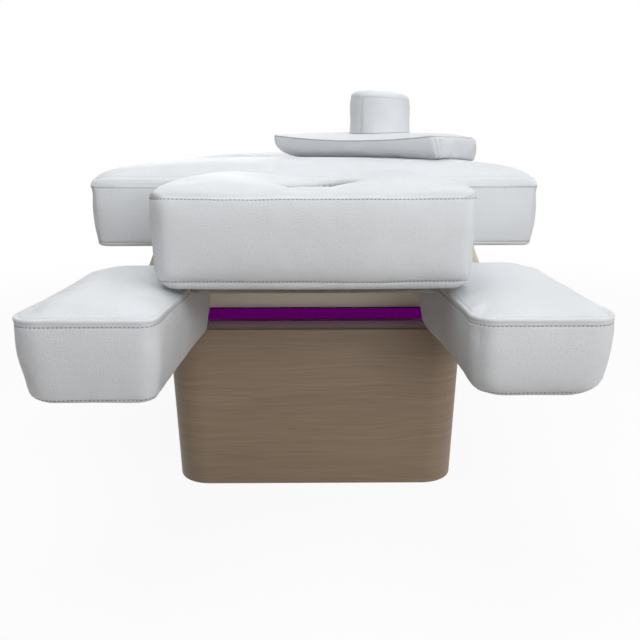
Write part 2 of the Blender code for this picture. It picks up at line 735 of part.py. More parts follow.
def build_sections():
    half = BED_WIDTH / 2 - BOARD_INSET
    mid = (BOARD_TOP + BOARD_UNDER) / 2
    runs = (("back", BACK_NEAR, BACK_LENGTH, (True, True), back_rise, BACK),
            ("seat", SEAT_NEAR, SEAT_LENGTH, (True, False), bed_rise, LIFT),
            ("leg", LEG_NEAR, LEG_LENGTH, (False, False), bed_rise, LEG))
    for name, near, length, tabs, rise, carrier in runs:
        loop = board_outline(half, near, near + length, *tabs)
        hang(prism(f"{name}_board", [loop], BOARD_THICK, facing_z(mid)), "board", carrier)
        pad = cushion(f"{name}_cushion", BED_WIDTH, length, BED_THICK, CUSHION_CORNER, rise,
                      (0, near + length / 2), SEAM_HEIGHT, (11, 9, 3))
        hang(pad, "leather", carrier, smooth=True)
    half = ARM_OFFSET - ARM_WIDTH / 2 - HEAD_BOARD_CLEAR
    middle = HEAD_NEAR + HEAD_LENGTH / 2
    loop = board_outline(half, HEAD_NEAR, HEAD_NEAR + HEAD_LENGTH, False, True)
    hole = arc((0, middle), HOLE_RADIUS, 0, 2 * math.pi, 24)[:-1]
    mid = (HEAD_BOARD_TOP + HEAD_BOARD_UNDER) / 2
    hang(prism("head_board", [loop, hole], BOARD_THICK, facing_z(mid)), "board", HEAD)
    pad = cushion("head_cushion", HEAD_WIDTH, HEAD_LENGTH, HEAD_THICK, CUSHION_CORNER, head_rise,
                  (0, middle), SEAM_HEIGHT, (13, 9, 3))
    bore = cylinder("face_hole", HOLE_RADIUS, 2 * HEAD_THICK, (0, middle, HEAD_UNDER + HEAD_THICK / 2),
                    "Z", 24)
    hang(cut(pad, bore), "leather", HEAD, smooth=True)


# Arm pads

def build_arm(side, sign):
    carrier = ARMS[side]
    centre = (sign * ARM_OFFSET, ARM_NEAR + ARM_LENGTH / 2)
    pad = cushion(f"arm_{side}_cushion", ARM_WIDTH, ARM_LENGTH, ARM_THICK, ARM_CORNER, arm_rise,
                  centre, ARM_TOP, (9, 11, 3))
    hang(pad, "leather", carrier, smooth=True)
    half = ARM_WIDTH / 2 - ARM_BOARD_INSET
    loop = rounded(centre[0] - half, centre[0] + half, ARM_NEAR + ARM_BOARD_INSET,
                   ARM_NEAR + ARM_LENGTH - ARM_BOARD_INSET, ARM_CORNER - ARM_BOARD_INSET)
    board = prism(f"arm_{side}_board", [loop], BOARD_THICK,
                  facing_z((ARM_BOARD_TOP + ARM_BOARD_UNDER) / 2))
    pivot_x, out = sign * PIVOT_OFFSET, TONGUE_WIDTH / 2
    bore = arc((pivot_x, PIVOT_Y), PIVOT_RADIUS + SEAT_GAP, 0, 2 * math.pi, 16)[:-1]
    plan = rounded(pivot_x - out, pivot_x + out, PIVOT_Y - PIVOT_BEHIND - 3 * ARM_BOARD_INSET,
                   PIVOT_Y + out, out * 0.9)
    low = ARM_BOARD_UNDER + SEAT_GAP
    tongue = prism(f"arm_{side}_tongue", [plan, bore], TONGUE_THICK,
                   facing_z(low + TONGUE_THICK / 2))
    hang(fuse(board, tongue), "board", carrier)
    build_hanger(side, sign, low)


def build_hanger(side, sign, tongue_under):
    """A painted plate under the back board, down to the arm's pivot pin."""
    foot_low = tongue_under + TONGUE_THICK + SEAT_GAP
    foot_high = foot_low + HANGER_PLATE
    top_low = FRAME_TOP - HANGER_PLATE
    out = TONGUE_WIDTH / 2
    near = PIVOT_Y - out * 0.6
    inside, outside = PIVOT_OFFSET - out, PIVOT_OFFSET + out
    far = PIVOT_Y + out * 0.6
    step = (foot_high + top_low) / 2
    outline = [(inside, foot_low + HANGER_PLATE / 2), (outside, foot_low + HANGER_PLATE / 2),
               (HANGER_TOP_OUT, top_low + HANGER_PLATE / 2),
               (HANGER_TOP_IN, top_low + HANGER_PLATE / 2), (HANGER_TOP_IN, step)]
    gusset = prism(f"arm_{side}_hanger", [[(sign * x, z) for x, z in outline]], HANGER_PLATE,
                   facing_y(near + HANGER_PLATE))
    low, high = sorted((sign * inside, sign * outside))
    foot = box(f"hanger_{side}_foot", (low, near, foot_low), (high, far, foot_high))
    low, high = sorted((sign * (HANGER_TOP_IN - HANGER_PLATE), sign * HANGER_TOP_OUT))
    flange = box(f"hanger_{side}_flange", (low, near, top_low),
                 (high, near + HANGER_DEPTH, FRAME_TOP))
    pivot_x = sign * PIVOT_OFFSET
    head_top = tongue_under - SEAT_GAP
    head_low = head_top - HANGER_PLATE
    pin = cylinder(f"hanger_{side}_pin", PIVOT_RADIUS, foot_high - head_low - HANGER_PLATE / 2,
                   (pivot_x, PIVOT_Y, (foot_high + head_low) / 2), "Z", 16)
    head = cylinder(f"hanger_{side}_pin_head", PIVOT_HEAD, head_top - head_low,
                    (pivot_x, PIVOT_Y, (head_top + head_low) / 2), "Z", 16)
    hang(fuse(gusset, foot, flange, pin, head), "cream", BACK)


# Actuators and the levers they push on

def nose_place(depth, lean, play):
    """How far past the hinge the rod's nose stands, clear of the leaning lever."""
    reach = NOSE_RADIUS + SEAT_GAP + depth * math.sin(lean)
    return reach / math.cos(lean) + play


def build_back_actuator():
    axis_y, axis_z = BACK_AXIS_Y, HINGE_Z
    top = BOARD_UNDER - SEAT_GAP - axis_z
    lean = BACK_LEVER_LEAN
    face = Vector((math.sin(lean), -math.cos(lean)))
    behind = Vector((-math.cos(lean), -math.sin(lean))) * LEVER_PLATE
    heel = face * ((-top + LEVER_PLATE) / math.cos(lean))
    tip = face * BACK_LEVER_TIP
    outline = [(-SECTION_GAP / 2 - BACK_LEVER_DEPTH / 2, top), (-SECTION_GAP, top), heel, tip,
               tip + behind, (-SECTION_GAP - LEVER_PLATE, top - 2 * LEVER_PLATE),
               (-SECTION_GAP / 2 - BACK_LEVER_DEPTH / 2, top - LEVER_PLATE)]
    plan = [(axis_y + y, axis_z + z) for y, z in outline]
    hang(prism("back_lever", [plan], LEVER_WIDTH, facing_x(ACTUATOR_OFFSET)), "steel", BACK)
    rod_z = axis_z - BACK_LEVER_DEPTH
    nose_y = axis_y + nose_place(BACK_LEVER_DEPTH, lean, BACK_NOSE_PLAY)
    tube_near = nose_y + NOSE_RADIUS + WINDOW_MARGIN
    tube_far = COVER_FAR - COVER_WALL - TUBE_END_GAP
    build_actuator("back", ACTUATOR_OFFSET, rod_z, tube_near, tube_far - tube_near, nose_y,
                   tube_far - RUN_GAP, BACK_ROD, COLUMN_YS[1])


def build_leg_actuator():
    axis_y, axis_z = LEG_AXIS_Y, LEG_HINGE_Z
    top = BOARD_UNDER - SEAT_GAP - LEAF_THICK - SEAT_GAP - axis_z
    lean = LEG_LEVER_LEAN
    face = Vector((math.sin(lean), -math.cos(lean)))
    ahead = Vector((math.cos(lean), math.sin(lean))) * LEVER_PLATE
    heel = face * (KNUCKLE_RADIUS + LEVER_PLATE)
    tip = face * LEG_LEVER_TIP
    start, stop = SECTION_GAP, SECTION_GAP + LEG_LEVER_DEPTH
    outline = [(start, top), heel, tip, tip + ahead, (stop, top - LEVER_PLATE), (stop, top)]
    plan = [(axis_y + y, axis_z + z) for y, z in outline]
    hang(prism("leg_lever", [plan], LEVER_WIDTH, facing_x(-ACTUATOR_OFFSET)), "steel", LEG)
    rod_z = axis_z - LEG_LEVER_DEPTH
    nose_y = axis_y - nose_place(LEG_LEVER_DEPTH, -lean, LEG_NOSE_PLAY)
    tube_far = nose_y - LEG_ROD_REACH
    tube_near = COLUMN_YS[1] - LEG_TUBE_TAIL
    build_actuator("leg", -ACTUATOR_OFFSET, rod_z, tube_near, tube_far - tube_near, nose_y,
                   (tube_near + tube_far) / 2, LEG_ROD, COLUMN_YS[1])


def build_actuator(name, x, z, near, length, nose_y, rod_end, carrier, cross_y):
    """A tube with its motor beside it, hung from a cross member, and its rod."""
    middle = near + length / 2
    tube = cylinder(f"{name}_actuator", TUBE_RADIUS, length, (x, middle, z))
    tube.matrix_world = Matrix.Translation((x, middle, z)) @ Matrix.Rotation(math.pi / 2, 4, "X")
    motor_x = x + math.copysign(TUBE_RADIUS + MOTOR_RADIUS * 0.6, x)
    motor = cylinder(f"{name}_motor", MOTOR_RADIUS, MOTOR_LENGTH,
                     (motor_x, middle + (length - MOTOR_LENGTH) * 0.3, z), "Y", 20)
    half = TUBE_RADIUS * 0.8
    strap = box(f"{name}_strap", (x - half, cross_y - half, z + ROD_RADIUS * 1.5),
                (x + half, cross_y + half, FRAME_UNDER - SEAT_GAP))
    bore_end = length * 2
    bore = cylinder(f"{name}_tube_bore", ROD_RADIUS + SEAT_GAP, bore_end, (x, middle, z), "Y", 16)
    hang(cut(fuse(tube, motor, strap), bore), "black", LIFT, smooth=True)
    span = abs(rod_end - nose_y)
    rod = cylinder(f"{name}_rod", ROD_RADIUS, span, (x, (rod_end + nose_y) / 2, z), "Y", 16)
    nose = cylinder(f"{name}_nose", NOSE_RADIUS, NOSE_WIDTH, (x, nose_y, z), "X", 20)
    hang(fuse(rod, nose), "chrome", carrier, smooth=True)


# Loose pillow and plug

def rest_on_back(pad, seam, thick):
    """Undercut the pillow, and let its underside follow the back section's crown."""
    for vert in pad.data.vertices:
        depth = seam - vert.co.z
        if depth > PILLOW_DISH * 1.01:
            t = depth / thick
            vert.co.x += PILLOW_LEFT_CUT * t ** 2 * (0.5 - vert.co.x / PILLOW_LENGTH)
            vert.co.y += PILLOW_FRONT_CUT * t ** 1.5 * (0.5 - vert.co.y / PILLOW_WIDTH)
            place = pad.matrix_world @ vert.co
            u = place.x / (BED_WIDTH / 2)
            v = (place.y - BACK_NEAR) / (BACK_LENGTH / 2) - 1
            floor = SEAM_HEIGHT + back_rise(u, v) + PILLOW_SINK_GAP
            vert.co.z = seam - depth / thick * (seam - floor)


def plug_seat():
    """Height of the pillow's top, against its seam, where the plug's rim rests."""
    shift = Matrix.Rotation(-PILLOW_TURN, 2) @ Vector((PLUG_OFFSET - PILLOW_OFFSET, 0))
    rim = PLUG_RADIUS - PLUG_DOME * 0.3
    heights = []
    for x, y in arc(shift, rim, 0, 2 * math.pi, 48):
        heights.append(pillow_rise(x / (PILLOW_LENGTH / 2), y / (PILLOW_WIDTH / 2)))
    return max(heights)


def build_loose():
    thick = PILLOW_THICK + PILLOW_DISH
    seam = SEAM_HEIGHT + BACK_CROWN + SEAT_GAP + thick
    pad = cushion("head_pillow", PILLOW_LENGTH, PILLOW_WIDTH, thick, PILLOW_CORNER, pillow_rise,
                  (0, 0), seam, (11, 7, 2), PILLOW_TUCK)
    pad.matrix_world = (Matrix.Translation((PILLOW_OFFSET, PILLOW_Y, 0))
                        @ Matrix.Rotation(PILLOW_TURN, 4, "Z"))
    rest_on_back(pad, seam, thick)
    hang(pad, "leather", PILLOW, smooth=True)
    low = seam + plug_seat() + 2 * SEAT_GAP
    profile = [(0.0, PLUG_HEIGHT)]
    for i in range(1, 6):
        turn = math.pi / 2 * i / 5
        profile.append(((PLUG_RADIUS - PLUG_DOME * 0.3) * math.sin(turn),
                        PLUG_HEIGHT - PLUG_DOME * (1 - math.cos(turn))))
    profile += [(PLUG_RADIUS, PLUG_HEIGHT - PLUG_DOME * 1.6), (PLUG_RADIUS, PLUG_DOME * 0.6),
                (PLUG_RADIUS - PLUG_DOME * 0.3, 0.0), (0.0, 0.0)]
    bm = bmesh.new()
    verts = [bm.verts.new((r, 0, low + z)) for r, z in profile]
    for first, second in zip(verts, verts[1:]):
        bm.edges.new((first, second))
    mesh = bpy.data.meshes.new("face_hole_plug")
    bm.to_mesh(mesh)
    bm.free()
    plug = add_object("face_hole_plug", mesh, Matrix.Translation((PLUG_OFFSET, PILLOW_Y, 0)))
    turned = plug.modifiers.new("turned", "SCREW")
    turned.steps = 32
    turned.render_steps = 32
    turned.use_merge_vertices = True
    turned.merge_threshold = 0.00005
    hang(plug, "leather", PLUG)


build_base()
build_electrics()
build_columns()
build_frame()
build_hinges()
build_sections()
for arm_side, arm_sign in (("left", -1), ("right", 1)):
    build_arm(arm_side, arm_sign)
build_back_actuator()
build_leg_actuator()
build_loose()
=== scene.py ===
"""Looks of an electric facial bed: covers, stitching, finishes, studio and camera.

Metres, +Z up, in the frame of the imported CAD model. The head end points to -Y.
"""

import json
import math

import bmesh
import bpy
import numpy as np
from mathutils import Matrix, Vector, noise
from mathutils.bvhtree import BVHTree

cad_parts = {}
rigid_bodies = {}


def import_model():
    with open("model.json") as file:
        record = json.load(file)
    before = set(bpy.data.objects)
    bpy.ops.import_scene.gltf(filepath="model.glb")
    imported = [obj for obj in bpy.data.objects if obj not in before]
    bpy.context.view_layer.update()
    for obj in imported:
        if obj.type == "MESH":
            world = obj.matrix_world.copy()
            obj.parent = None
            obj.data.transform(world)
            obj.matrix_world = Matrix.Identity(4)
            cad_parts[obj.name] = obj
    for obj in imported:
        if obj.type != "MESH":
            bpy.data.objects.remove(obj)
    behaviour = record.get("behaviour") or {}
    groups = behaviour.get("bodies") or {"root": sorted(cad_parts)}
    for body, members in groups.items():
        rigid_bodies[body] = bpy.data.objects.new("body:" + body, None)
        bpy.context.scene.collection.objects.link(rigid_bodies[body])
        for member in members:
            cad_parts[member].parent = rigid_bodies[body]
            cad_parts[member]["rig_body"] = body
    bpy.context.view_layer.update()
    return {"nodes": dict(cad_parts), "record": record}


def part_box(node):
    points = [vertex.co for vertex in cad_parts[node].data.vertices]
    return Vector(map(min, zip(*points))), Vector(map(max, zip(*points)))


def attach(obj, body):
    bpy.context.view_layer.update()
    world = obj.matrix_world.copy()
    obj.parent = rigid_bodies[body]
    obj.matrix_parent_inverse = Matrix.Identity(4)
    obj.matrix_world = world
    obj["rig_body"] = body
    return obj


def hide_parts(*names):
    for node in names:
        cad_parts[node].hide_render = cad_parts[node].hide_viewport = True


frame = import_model()
NODES = frame["nodes"]
JOINTS = frame["record"]["behaviour"]["joints"]

# Camera of the photograph
CAMERA_PLACE = (0.003, -1.780, 0.612)
CAMERA_PITCH = math.radians(76.24)
CAMERA_TURN = math.radians(-0.29)
CAMERA_ROLL = math.radians(-0.12)
CAMERA_LENS = 38.8

# Bed sections, head section and arm pads
BED_CROWN = 0.050
BACK_CROWN = 0.042
BED_SHOULDER = (0.022, 0.030)    # height and width of the quick rise along a top edge
HEAD_CROWN = 0.030
HEAD_SHOULDER = (0.013, 0.026)
HEAD_DIP = 0.026
DIP_REACH = (0.096, 0.16)
DIP_SHIFT = (-0.012, -0.035)     # the hollow's middle, from the middle of the face hole
HOLE_RADIUS = 0.064
HOLE_LIP = 0.009
ARM_CROWN = 0.016
ARM_SHOULDER = (0.0016, 0.004)
BED_CORNER = 0.016
HEAD_CORNER = (0.028, 0.020, 0.018, 0.018)

# Pillow
PILLOW_SIZE = (0.350, 0.242)
PILLOW_TURN = math.radians(-30)
PILLOW_DISH = (0.0102, 1.5)  # sag of the front edge between its corners, and power
PILLOW_CROWN = 0.007
PILLOW_CORNER = 0.012
PILLOW_FRONT_CUT = (0.032, 1.6)  # the underside's front edge behind the top seam, and power
PILLOW_LEFT_CUT = (0.034, 5)
PILLOW_LEAN = 0.0027         # the left end stands higher than the right
PILLOW_END_ROUND = (0.013, 0.010, 8)     # the right end's rounded edges: height, depth, power
PILLOW_SEAM = (0.0026, 0.0017, 0.0005)   # below the top edge: place, width and depth
PILLOW_JOIN = (0.0045, 0.0014, 0.0009)   # the right end's upright seam, from its front corner
PILLOW_FOLD = (0.008, 0.0022, 0.0007)    # its slanting fold
PILLOW_FOLD_RUN = 0.022
PILLOW_SHADE = (0.85, 0.40, 0.25)     # painted shade as dark lines in the seam, the join and the fold
PILLOW_PUFF = (0.002, 0.03)          # the right end's swell, and how far it takes to rise
PILLOW_GAP = 0.0006          # over the back section's cover

# Plug
PLUG_DOME = 0.010
PLUG_ROUND = 0.015           # round of the plug's top edge, larger on the left
PLUG_ROUND_CHANGE = 0.12
PLUG_SLANT = 0.085
PLUG_DRAFT = 0.0018
PLUG_SEAM_TURN = math.radians(-131)
PLUG_JOIN = (0.0016, 0.0011, 0.0006)     # each seam beside the join: place, width and depth
PLUG_EDGE = (0.0, 0.0013, 0.0003)        # the top's seam
PLUG_SHADE = (0.35, 0.10)         # painted shade as dark lines in both
PLUG_FLARE = (0.0006, 0.12)      # spread of the foot, and share of the height
PLUG_BELLY = 0.0008
PLUG_CREST = 0.004               # fall of the flat part of the top towards its edge
PLUG_GAP = 0.0004                # over the pillow's cover

# Sides of the covers
SIDE_TUCK = 0.005            # a side's lower edge stands inside its top seam
SIDE_TUCK_POWER = 1.4
SIDE_PULL = 0.003            # a side draws in between its corners
SIDE_BELLY = 0.002
PINCH_REACH = 0.010
BACK_SPREAD = 0.0030         # leather over the foam, each side
HEAD_SPREAD = 0.0020
HEAD_SIDE_TUCK = 0.004
HEAD_BOW = 0.007             # the near face bows out between its corners
HEAD_LEFT = 0.0045           # the left side bulges further out
HEAD_SIDE_ROLL = 0.012       # round of its left and right lower edges
SIDE_ROLL_SHARE = 0.95       # how much of that quarter-round is used
HEAD_BROW = (0.0045, 0.011)  # swell of the near face under its stitches, and how fast
HEAD_HEM = 0.0105            # strip of leather below the head section's lower seam
HEM_SLOPE = 0.35             # how fast the hem runs in below the lower seam
LOWER_ROLL = 0.008           # round of a side's lower edge

# Undersides, boards and tongues
WRAP_BORDER = 0.034      # leather turned under the board
WRAP_HOLLOW = 0.006      # how far the middle of the underside lies above that border
HEAD_HOLLOW = (0.2, 0.75)    # where it lies so on the way from the face hole to the edge
HEAD_STAPLES = 0.90          # where the staples lie on that way
BOARD_INSET = 0.006      # an arm pad's board, inside the turn of the leather
BOARD_EDGE = 0.002
BOARD_CORNER = 0.6       # round of its corners, as a share of the cover's
BOARD_LIFT = 0.0012
TONGUE_HALF = 0.030      # half the width of an arm pad's tongue
TONGUE_CORNER = TONGUE_HALF * 0.9
TONGUE_THICK = 0.006
TONGUE_EDGE = 0.0012
TONGUE_GAP = 0.0003
TONGUE_BORE = 0.0063
TONGUE_POINTS = 48
TONGUE_REACH = 0.132     # from the pivot pin to the tongue's near end
ARM_RAISE = 0.004        # the right arm pad's underside stands higher than the left one's

# Seams, stitches and staples
BEAD_WIDTH = 0.0056      # folded edge along the top seam
BEAD_RISE = 0.0066       # from the stitch line up to the middle of that edge
STITCH_DEPTH = 0.0072    # stitch line below the top edge
STITCH_GROOVE = 0.0009
GROOVE_WIDTH = 0.0010
LOWER_GROOVE_WIDTH = 0.0012
CREASE_RISE = 0.0040     # crease above the folded edge
CREASE_WIDTH = 0.0013
CREASE_SHARE = 0.6       # its depth, as a share of that edge's height
CREASE_SHADE = 0.35       # painted shade beside the stitch line, under a high folded edge: how dark it is
HIGH_BEAD = 0.0006
# Painted shade in the seams' grooves: how dark they are painted
SEAM_SHADE = 0.3
LOOSE_SHARE = 0.95       # share of a side that isn't fixed to its board
HELD_SHARE = 0.96        # share of a side after which filling leaves it still
PUCKER_START = 0.8       # puckers start here, as a share of the stitch line's depth
PUCKER_FADE = 0.014      # and run this far down from the stitches
CORNER_PUCKER = 2        # how much higher they grow at a corner
LOWER_PUCKER_FADE = 0.012
PUCKER_REACH = 0.012     # the same on the pillow
PLUG_PUCKER_REACH = 0.010
CORNER_START = 0.72      # share of a side after which its corner begins
STAPLE_SIZES = (0.036, 0.011, 0.0008)    # pitch, length and half-thickness
STAPLE_INSET = 0.016
STITCH_PITCH = 0.0054
STITCH_LENGTH = 0.0031
THREAD_RADIUS = 0.00052
THREAD_LIFT = 0.4        # how far a stitch stands proud, in radii

# Waves in the leather: how many to a metre along x, y and z, seed and height
PUCKER = ((75, 75, 16), 3.0, 0.0004)
FOLD = ((34, 34, 60), 4.0, 0.0016)
DENT = ((12, 12, 12), 7.0)
RIPPLE = ((30, 30, 30), 5.0, 0.0003)
LOWER_PUCKER = ((80, 80, 20), 11.0, 0.00035)
PILLOW_DENT = ((11, 11, 11), 7.0, 0.0007)
PILLOW_PUCKER = ((60, 60, 14), 3.0, 0.00035)
PLUG_DENT = ((14, 14, 14), 7.0, 0.0006)
PLUG_PUCKER = ((70, 70, 18), 3.0, 0.0004)
RUCHES = 54              # gathers round the face hole
RUCHE_HEIGHT = 0.0015
RUCHE_ROW = (2.05, 0.16)         # place and reach, in rows of the head section's grid
RUCHE_SWAY = (2.2, 7)            # uneven spacing: how much, and how often round the hole
RUCHE_CHANGE = (0.3, 11)         # uneven height, the same way
HOLE_SEAM = (2.06, 0.02, 0.001)  # row, width and depth
HOLE_SHADE = (0.8, 0.35)          # painted shade as dark lines in that seam and between the gathers

# Base panels
BASE_CORNER = 0.065
BASE_TAPER = 0.009
BASE_WALL = 0.018
PANEL_BEVEL = 0.0012
PANEL_EDGE_ANGLE = math.radians(40)      # edges sharper than this are softened
PANEL_SHADE_ANGLE = math.radians(35)
CORNER_POINTS = 22
SIDE_POINTS = 12
RIM_PAINTED_GLOW = (0.309, 0.3185)   # heights between which the strip's purple light is painted on the rim
RIM_FLAT = 0.0004            # its upper side starts this far below its top

# How the covers are divided: distances from a seam, then an even pitch
TOP_STEPS = np.array([0, 0.8, 1.7, 2.6, 3.4, 4.2, 5.2, 6.6, 8.0, 9.4, 12.0]) / 1000
BAND_STEPS = np.array([0, 0.8, 1.6, 2.4, 3.2, 4.0, 4.8, 5.6, 6.2, 6.8, 7.2, 7.6, 8.2,
                       9.4, 11.5, 15.0, 20.0]) / 1000
LOWER_STEPS = np.array([-2.6, -1.4, -0.7, 0, 0.7, 1.4, 2.6]) / 1000
ROLL_STEPS = np.array([0, 0.22, 0.44, 0.66, 0.84, 1.0])    # shares of a rolled edge
ROW_GAP = 0.0003             # of two rows closer than this, one is left out
FINE_PITCH = 0.007
HEAD_PITCH = 0.0045
SLACK_PITCH = 0.011
HEAD_ROWS = (22, 9, 19, 12)          # lines over the top, lip, wall and underside
HEAD_SLACK_ROWS = (9, 3, 9, 9, 12)   # and the side, on the mesh for filling
FACE = 0.9999                        # from here on a grid point lies on a cube's face
LAP = np.arange(0, 4, 0.02)          # places once round a square
TINY = 1e-9

# Filling: a light cloth under pressure
FILL_STEPS = 20
FILLING = {
    "vertex_group_mass": "sewn", "quality": 6, "mass": 0.3, "air_damping": 6,
    "tension_stiffness": 18, "compression_stiffness": 18, "shear_stiffness": 8,
    "bending_stiffness": 1.5, "shrink_min": -0.012, "use_pressure": True,
    "uniform_pressure_force": 4,
}

# Studio
WORLD_FILL = (0.05, 0.22)    # from the left and from the right
WORLD_TINT = (0.95, 0.98, 1.0)
LAMP_TINT = (0.97, 0.985, 1.0)
LAMPS = (                    # name, place, aim, size and power
    ("overhead", (-0.15, -0.6, 2.7), (0.0, -0.35, 0.4), 2.6, 39),
    ("key", (2.7, -2.7, 1.75), (0.0, -0.6, 0.35), 1.7, 35),
    ("front", (0.60, -3.7, 2.05), (0.0, -0.6, 0.30), 1.6, 31),
    ("rear", (-1.2, 4.2, 1.9), (0.0, 0.6, 0.40), 2.4, 22),
    ("low", (0.80, -4.2, 0.70), (0.0, -0.6, 0.45), 1.0, 12),
)
FLOOR_RADIUS = 9.0
FLOOR_TONE = (0.36, 0.33, 0.30)      # what the floor reflects onto the bed
SHADOW_REACH = (0.9, 2.8)            # the floor's shadow fades out between these distances
SHADOW_SHARE = (0.92, 1.0)


# Materials: arithmetic on sockets

class Wire:
    """An output socket whose arithmetic adds Math nodes to its tree."""

    def __init__(self, wiring, socket):
        self.wiring, self.socket = wiring, socket

    def _math(self, operation, first, second):
        return self.wiring.node("ShaderNodeMath", {"operation": operation},
                                {0: first, 1: second})

    def __add__(self, other):
        return self._math("ADD", self, other)

    __radd__ = __add__

    def __sub__(self, other):
        return self._math("SUBTRACT", self, other)

    def __rsub__(self, other):
        return self._math("SUBTRACT", other, self)

    def __mul__(self, other):
        return self._math("MULTIPLY", self, other)

    __rmul__ = __mul__

    def __mod__(self, other):
        return self._math("MODULO", self, other)

    def above(self, level):
        return self._math("GREATER_THAN", self, level)

    def at_most(self, level):
        return self._math("MINIMUM", self, level)

    def at_least(self, level):
        return self._math("MAXIMUM", self, level)


class Wiring:
    """A node tree under construction."""

    def __init__(self, tree):
        self.tree = tree

    def node(self, kind, settings=None, sockets=None, out=0):
        """Any node: its settings first, then the values or links of its sockets."""
        made = self.tree.nodes.new(kind)
        for key, value in (settings or {}).items():
            if key == "stops":
                self._stops(made.color_ramp, value)
            else:
                setattr(made, key, value)
        for key, value in (sockets or {}).items():
            self.feed(made.inputs[key], value)
        return Wire(self, made.outputs[out])

    def _stops(self, ramp, stops):
        while len(ramp.elements) < len(stops):
            ramp.elements.new(0.5)
        for element, (place, colour) in zip(ramp.elements, stops):
            element.position = place
            element.color = (*colour, 1.0)

    def feed(self, socket, value):
        if isinstance(value, Wire):
            self.tree.links.new(value.socket, socket)
        elif isinstance(value, tuple) and len(value) == 3 and socket.type == "RGBA":
            socket.default_value = (*value, 1.0)
        else:
            socket.default_value = value

    def seen_directly(self):
        """1 where the camera, a mirror or glass looks straight at the backdrop."""
        rays = self.tree.nodes.new("ShaderNodeLightPath").outputs
        camera, glossy, glass = (Wire(self, rays[f"Is {kind} Ray"])
                                 for kind in ("Camera", "Glossy", "Transmission"))
        return camera.at_least(glossy).at_least(glass)


class Finish(Wiring):
    """A material under construction, with one Principled shader."""

    def __init__(self, name):
        self.material = bpy.data.materials.new(name)
        self.material.use_nodes = True
        super().__init__(self.material.node_tree)
        self.tree.nodes.clear()
        self.shader = self.tree.nodes.new("ShaderNodeBsdfPrincipled")
        self.output = self.tree.nodes.new("ShaderNodeOutputMaterial")
        self.tree.links.new(self.shader.outputs[0], self.output.inputs[0])

    def place(self, scale=(1, 1, 1), turn=(0, 0, 0)):
        coords = self.node("ShaderNodeTexCoord", out="Object")
        return self.node("ShaderNodeMapping", None,
                         {"Vector": coords, "Scale": scale, "Rotation": turn})

    def height(self):
        coords = self.node("ShaderNodeTexCoord", out="Object")
        return self.node("ShaderNodeSeparateXYZ", None, {0: coords}, 2)

    def noise(self, at, scale, detail=2.0, roughness=0.5):
        return self.node("ShaderNodeTexNoise", None,
                         {"Vector": at, "Scale": scale, "Detail": detail,
                          "Roughness": roughness})

    def cells(self, at, scale, feature="DISTANCE_TO_EDGE"):
        return self.node("ShaderNodeTexVoronoi", {"feature": feature},
                         {"Vector": at, "Scale": scale})

    def stripes(self, direction, scale, distortion=0.0):
        return self.node("ShaderNodeTexWave", {"bands_direction": direction},
                         {"Vector": self.place(), "Scale": scale, "Distortion": distortion})

    def ramp(self, value, *stops):
        return self.node("ShaderNodeValToRGB", {"stops": stops}, {"Fac": value})

    def mix(self, factor, first, second):
        return self.node("ShaderNodeMix", {"data_type": "RGBA"},
                         {0: factor, 6: first, 7: second}, 2)

    def attribute(self, name):
        return self.node("ShaderNodeAttribute", {"attribute_name": name}, None, "Fac")

    def bump(self, height, distance, strength=1.0):
        return self.node("ShaderNodeBump", None,
                         {"Height": height, "Distance": distance, "Strength": strength})

    def done(self, **sockets):
        """Set the shader's sockets, named with _ for a space."""
        for key, value in sockets.items():
            self.feed(self.shader.inputs[key.replace("_", " ")], value)
        return self.material


def make_leather():
    finish = Finish("white_leather")
    pebble = finish.cells(finish.place((1, 1, 1.2), (0.0, 0.5, 0.0)), 430)
    crease = finish.noise(finish.place((1.0, 1.0, 1.8), (0.0, 0.65, 0.3)), 340, 3.0, 0.62)
    cloud = finish.noise(finish.place(), 9, 2.0)
    # The groove attribute is painted shade in the seams, the creases and between the gathers;
    # it darkens the leather.
    painted_seam_shade = finish.attribute("groove")
    valley = (pebble * 4.5).at_most(0.6)
    grain = valley * 0.7 + crease
    tone = finish.mix(cloud, (0.815, 0.830, 0.850), (0.865, 0.878, 0.896))
    tone = finish.mix(0.14 - valley * 0.22, tone, (0.55, 0.55, 0.56))
    tone = finish.mix(painted_seam_shade * 0.9, tone, (0.22, 0.215, 0.21))
    return finish.done(Base_Color=tone, Roughness=0.36 + crease * 0.16 + cloud * 0.06,
                       Normal=finish.bump(grain, 0.0011, 0.75), Specular_IOR_Level=0.42,
                       Coat_Weight=0.06, Coat_Roughness=0.3)


def make_thread():
    finish = Finish("stitch_thread")
    twist = finish.stripes("DIAGONAL", 900, 2.0)
    tone = finish.mix(twist, (0.60, 0.60, 0.60), (0.80, 0.80, 0.80))
    return finish.done(Base_Color=tone, Roughness=0.62 + twist * 0.1)


# Painted shade: dark beads in the stitches' gaps stand in for the shadow of the needle holes
# and the groove.
def make_stitch_gap_shade():
    finish = Finish("needle_hole")
    fray = finish.noise(finish.place(), 900, 2.0)
    tone = finish.mix(fray, (0.140, 0.137, 0.134), (0.240, 0.235, 0.230))
    return finish.done(Base_Color=tone, Roughness=0.8 + fray * 0.1)


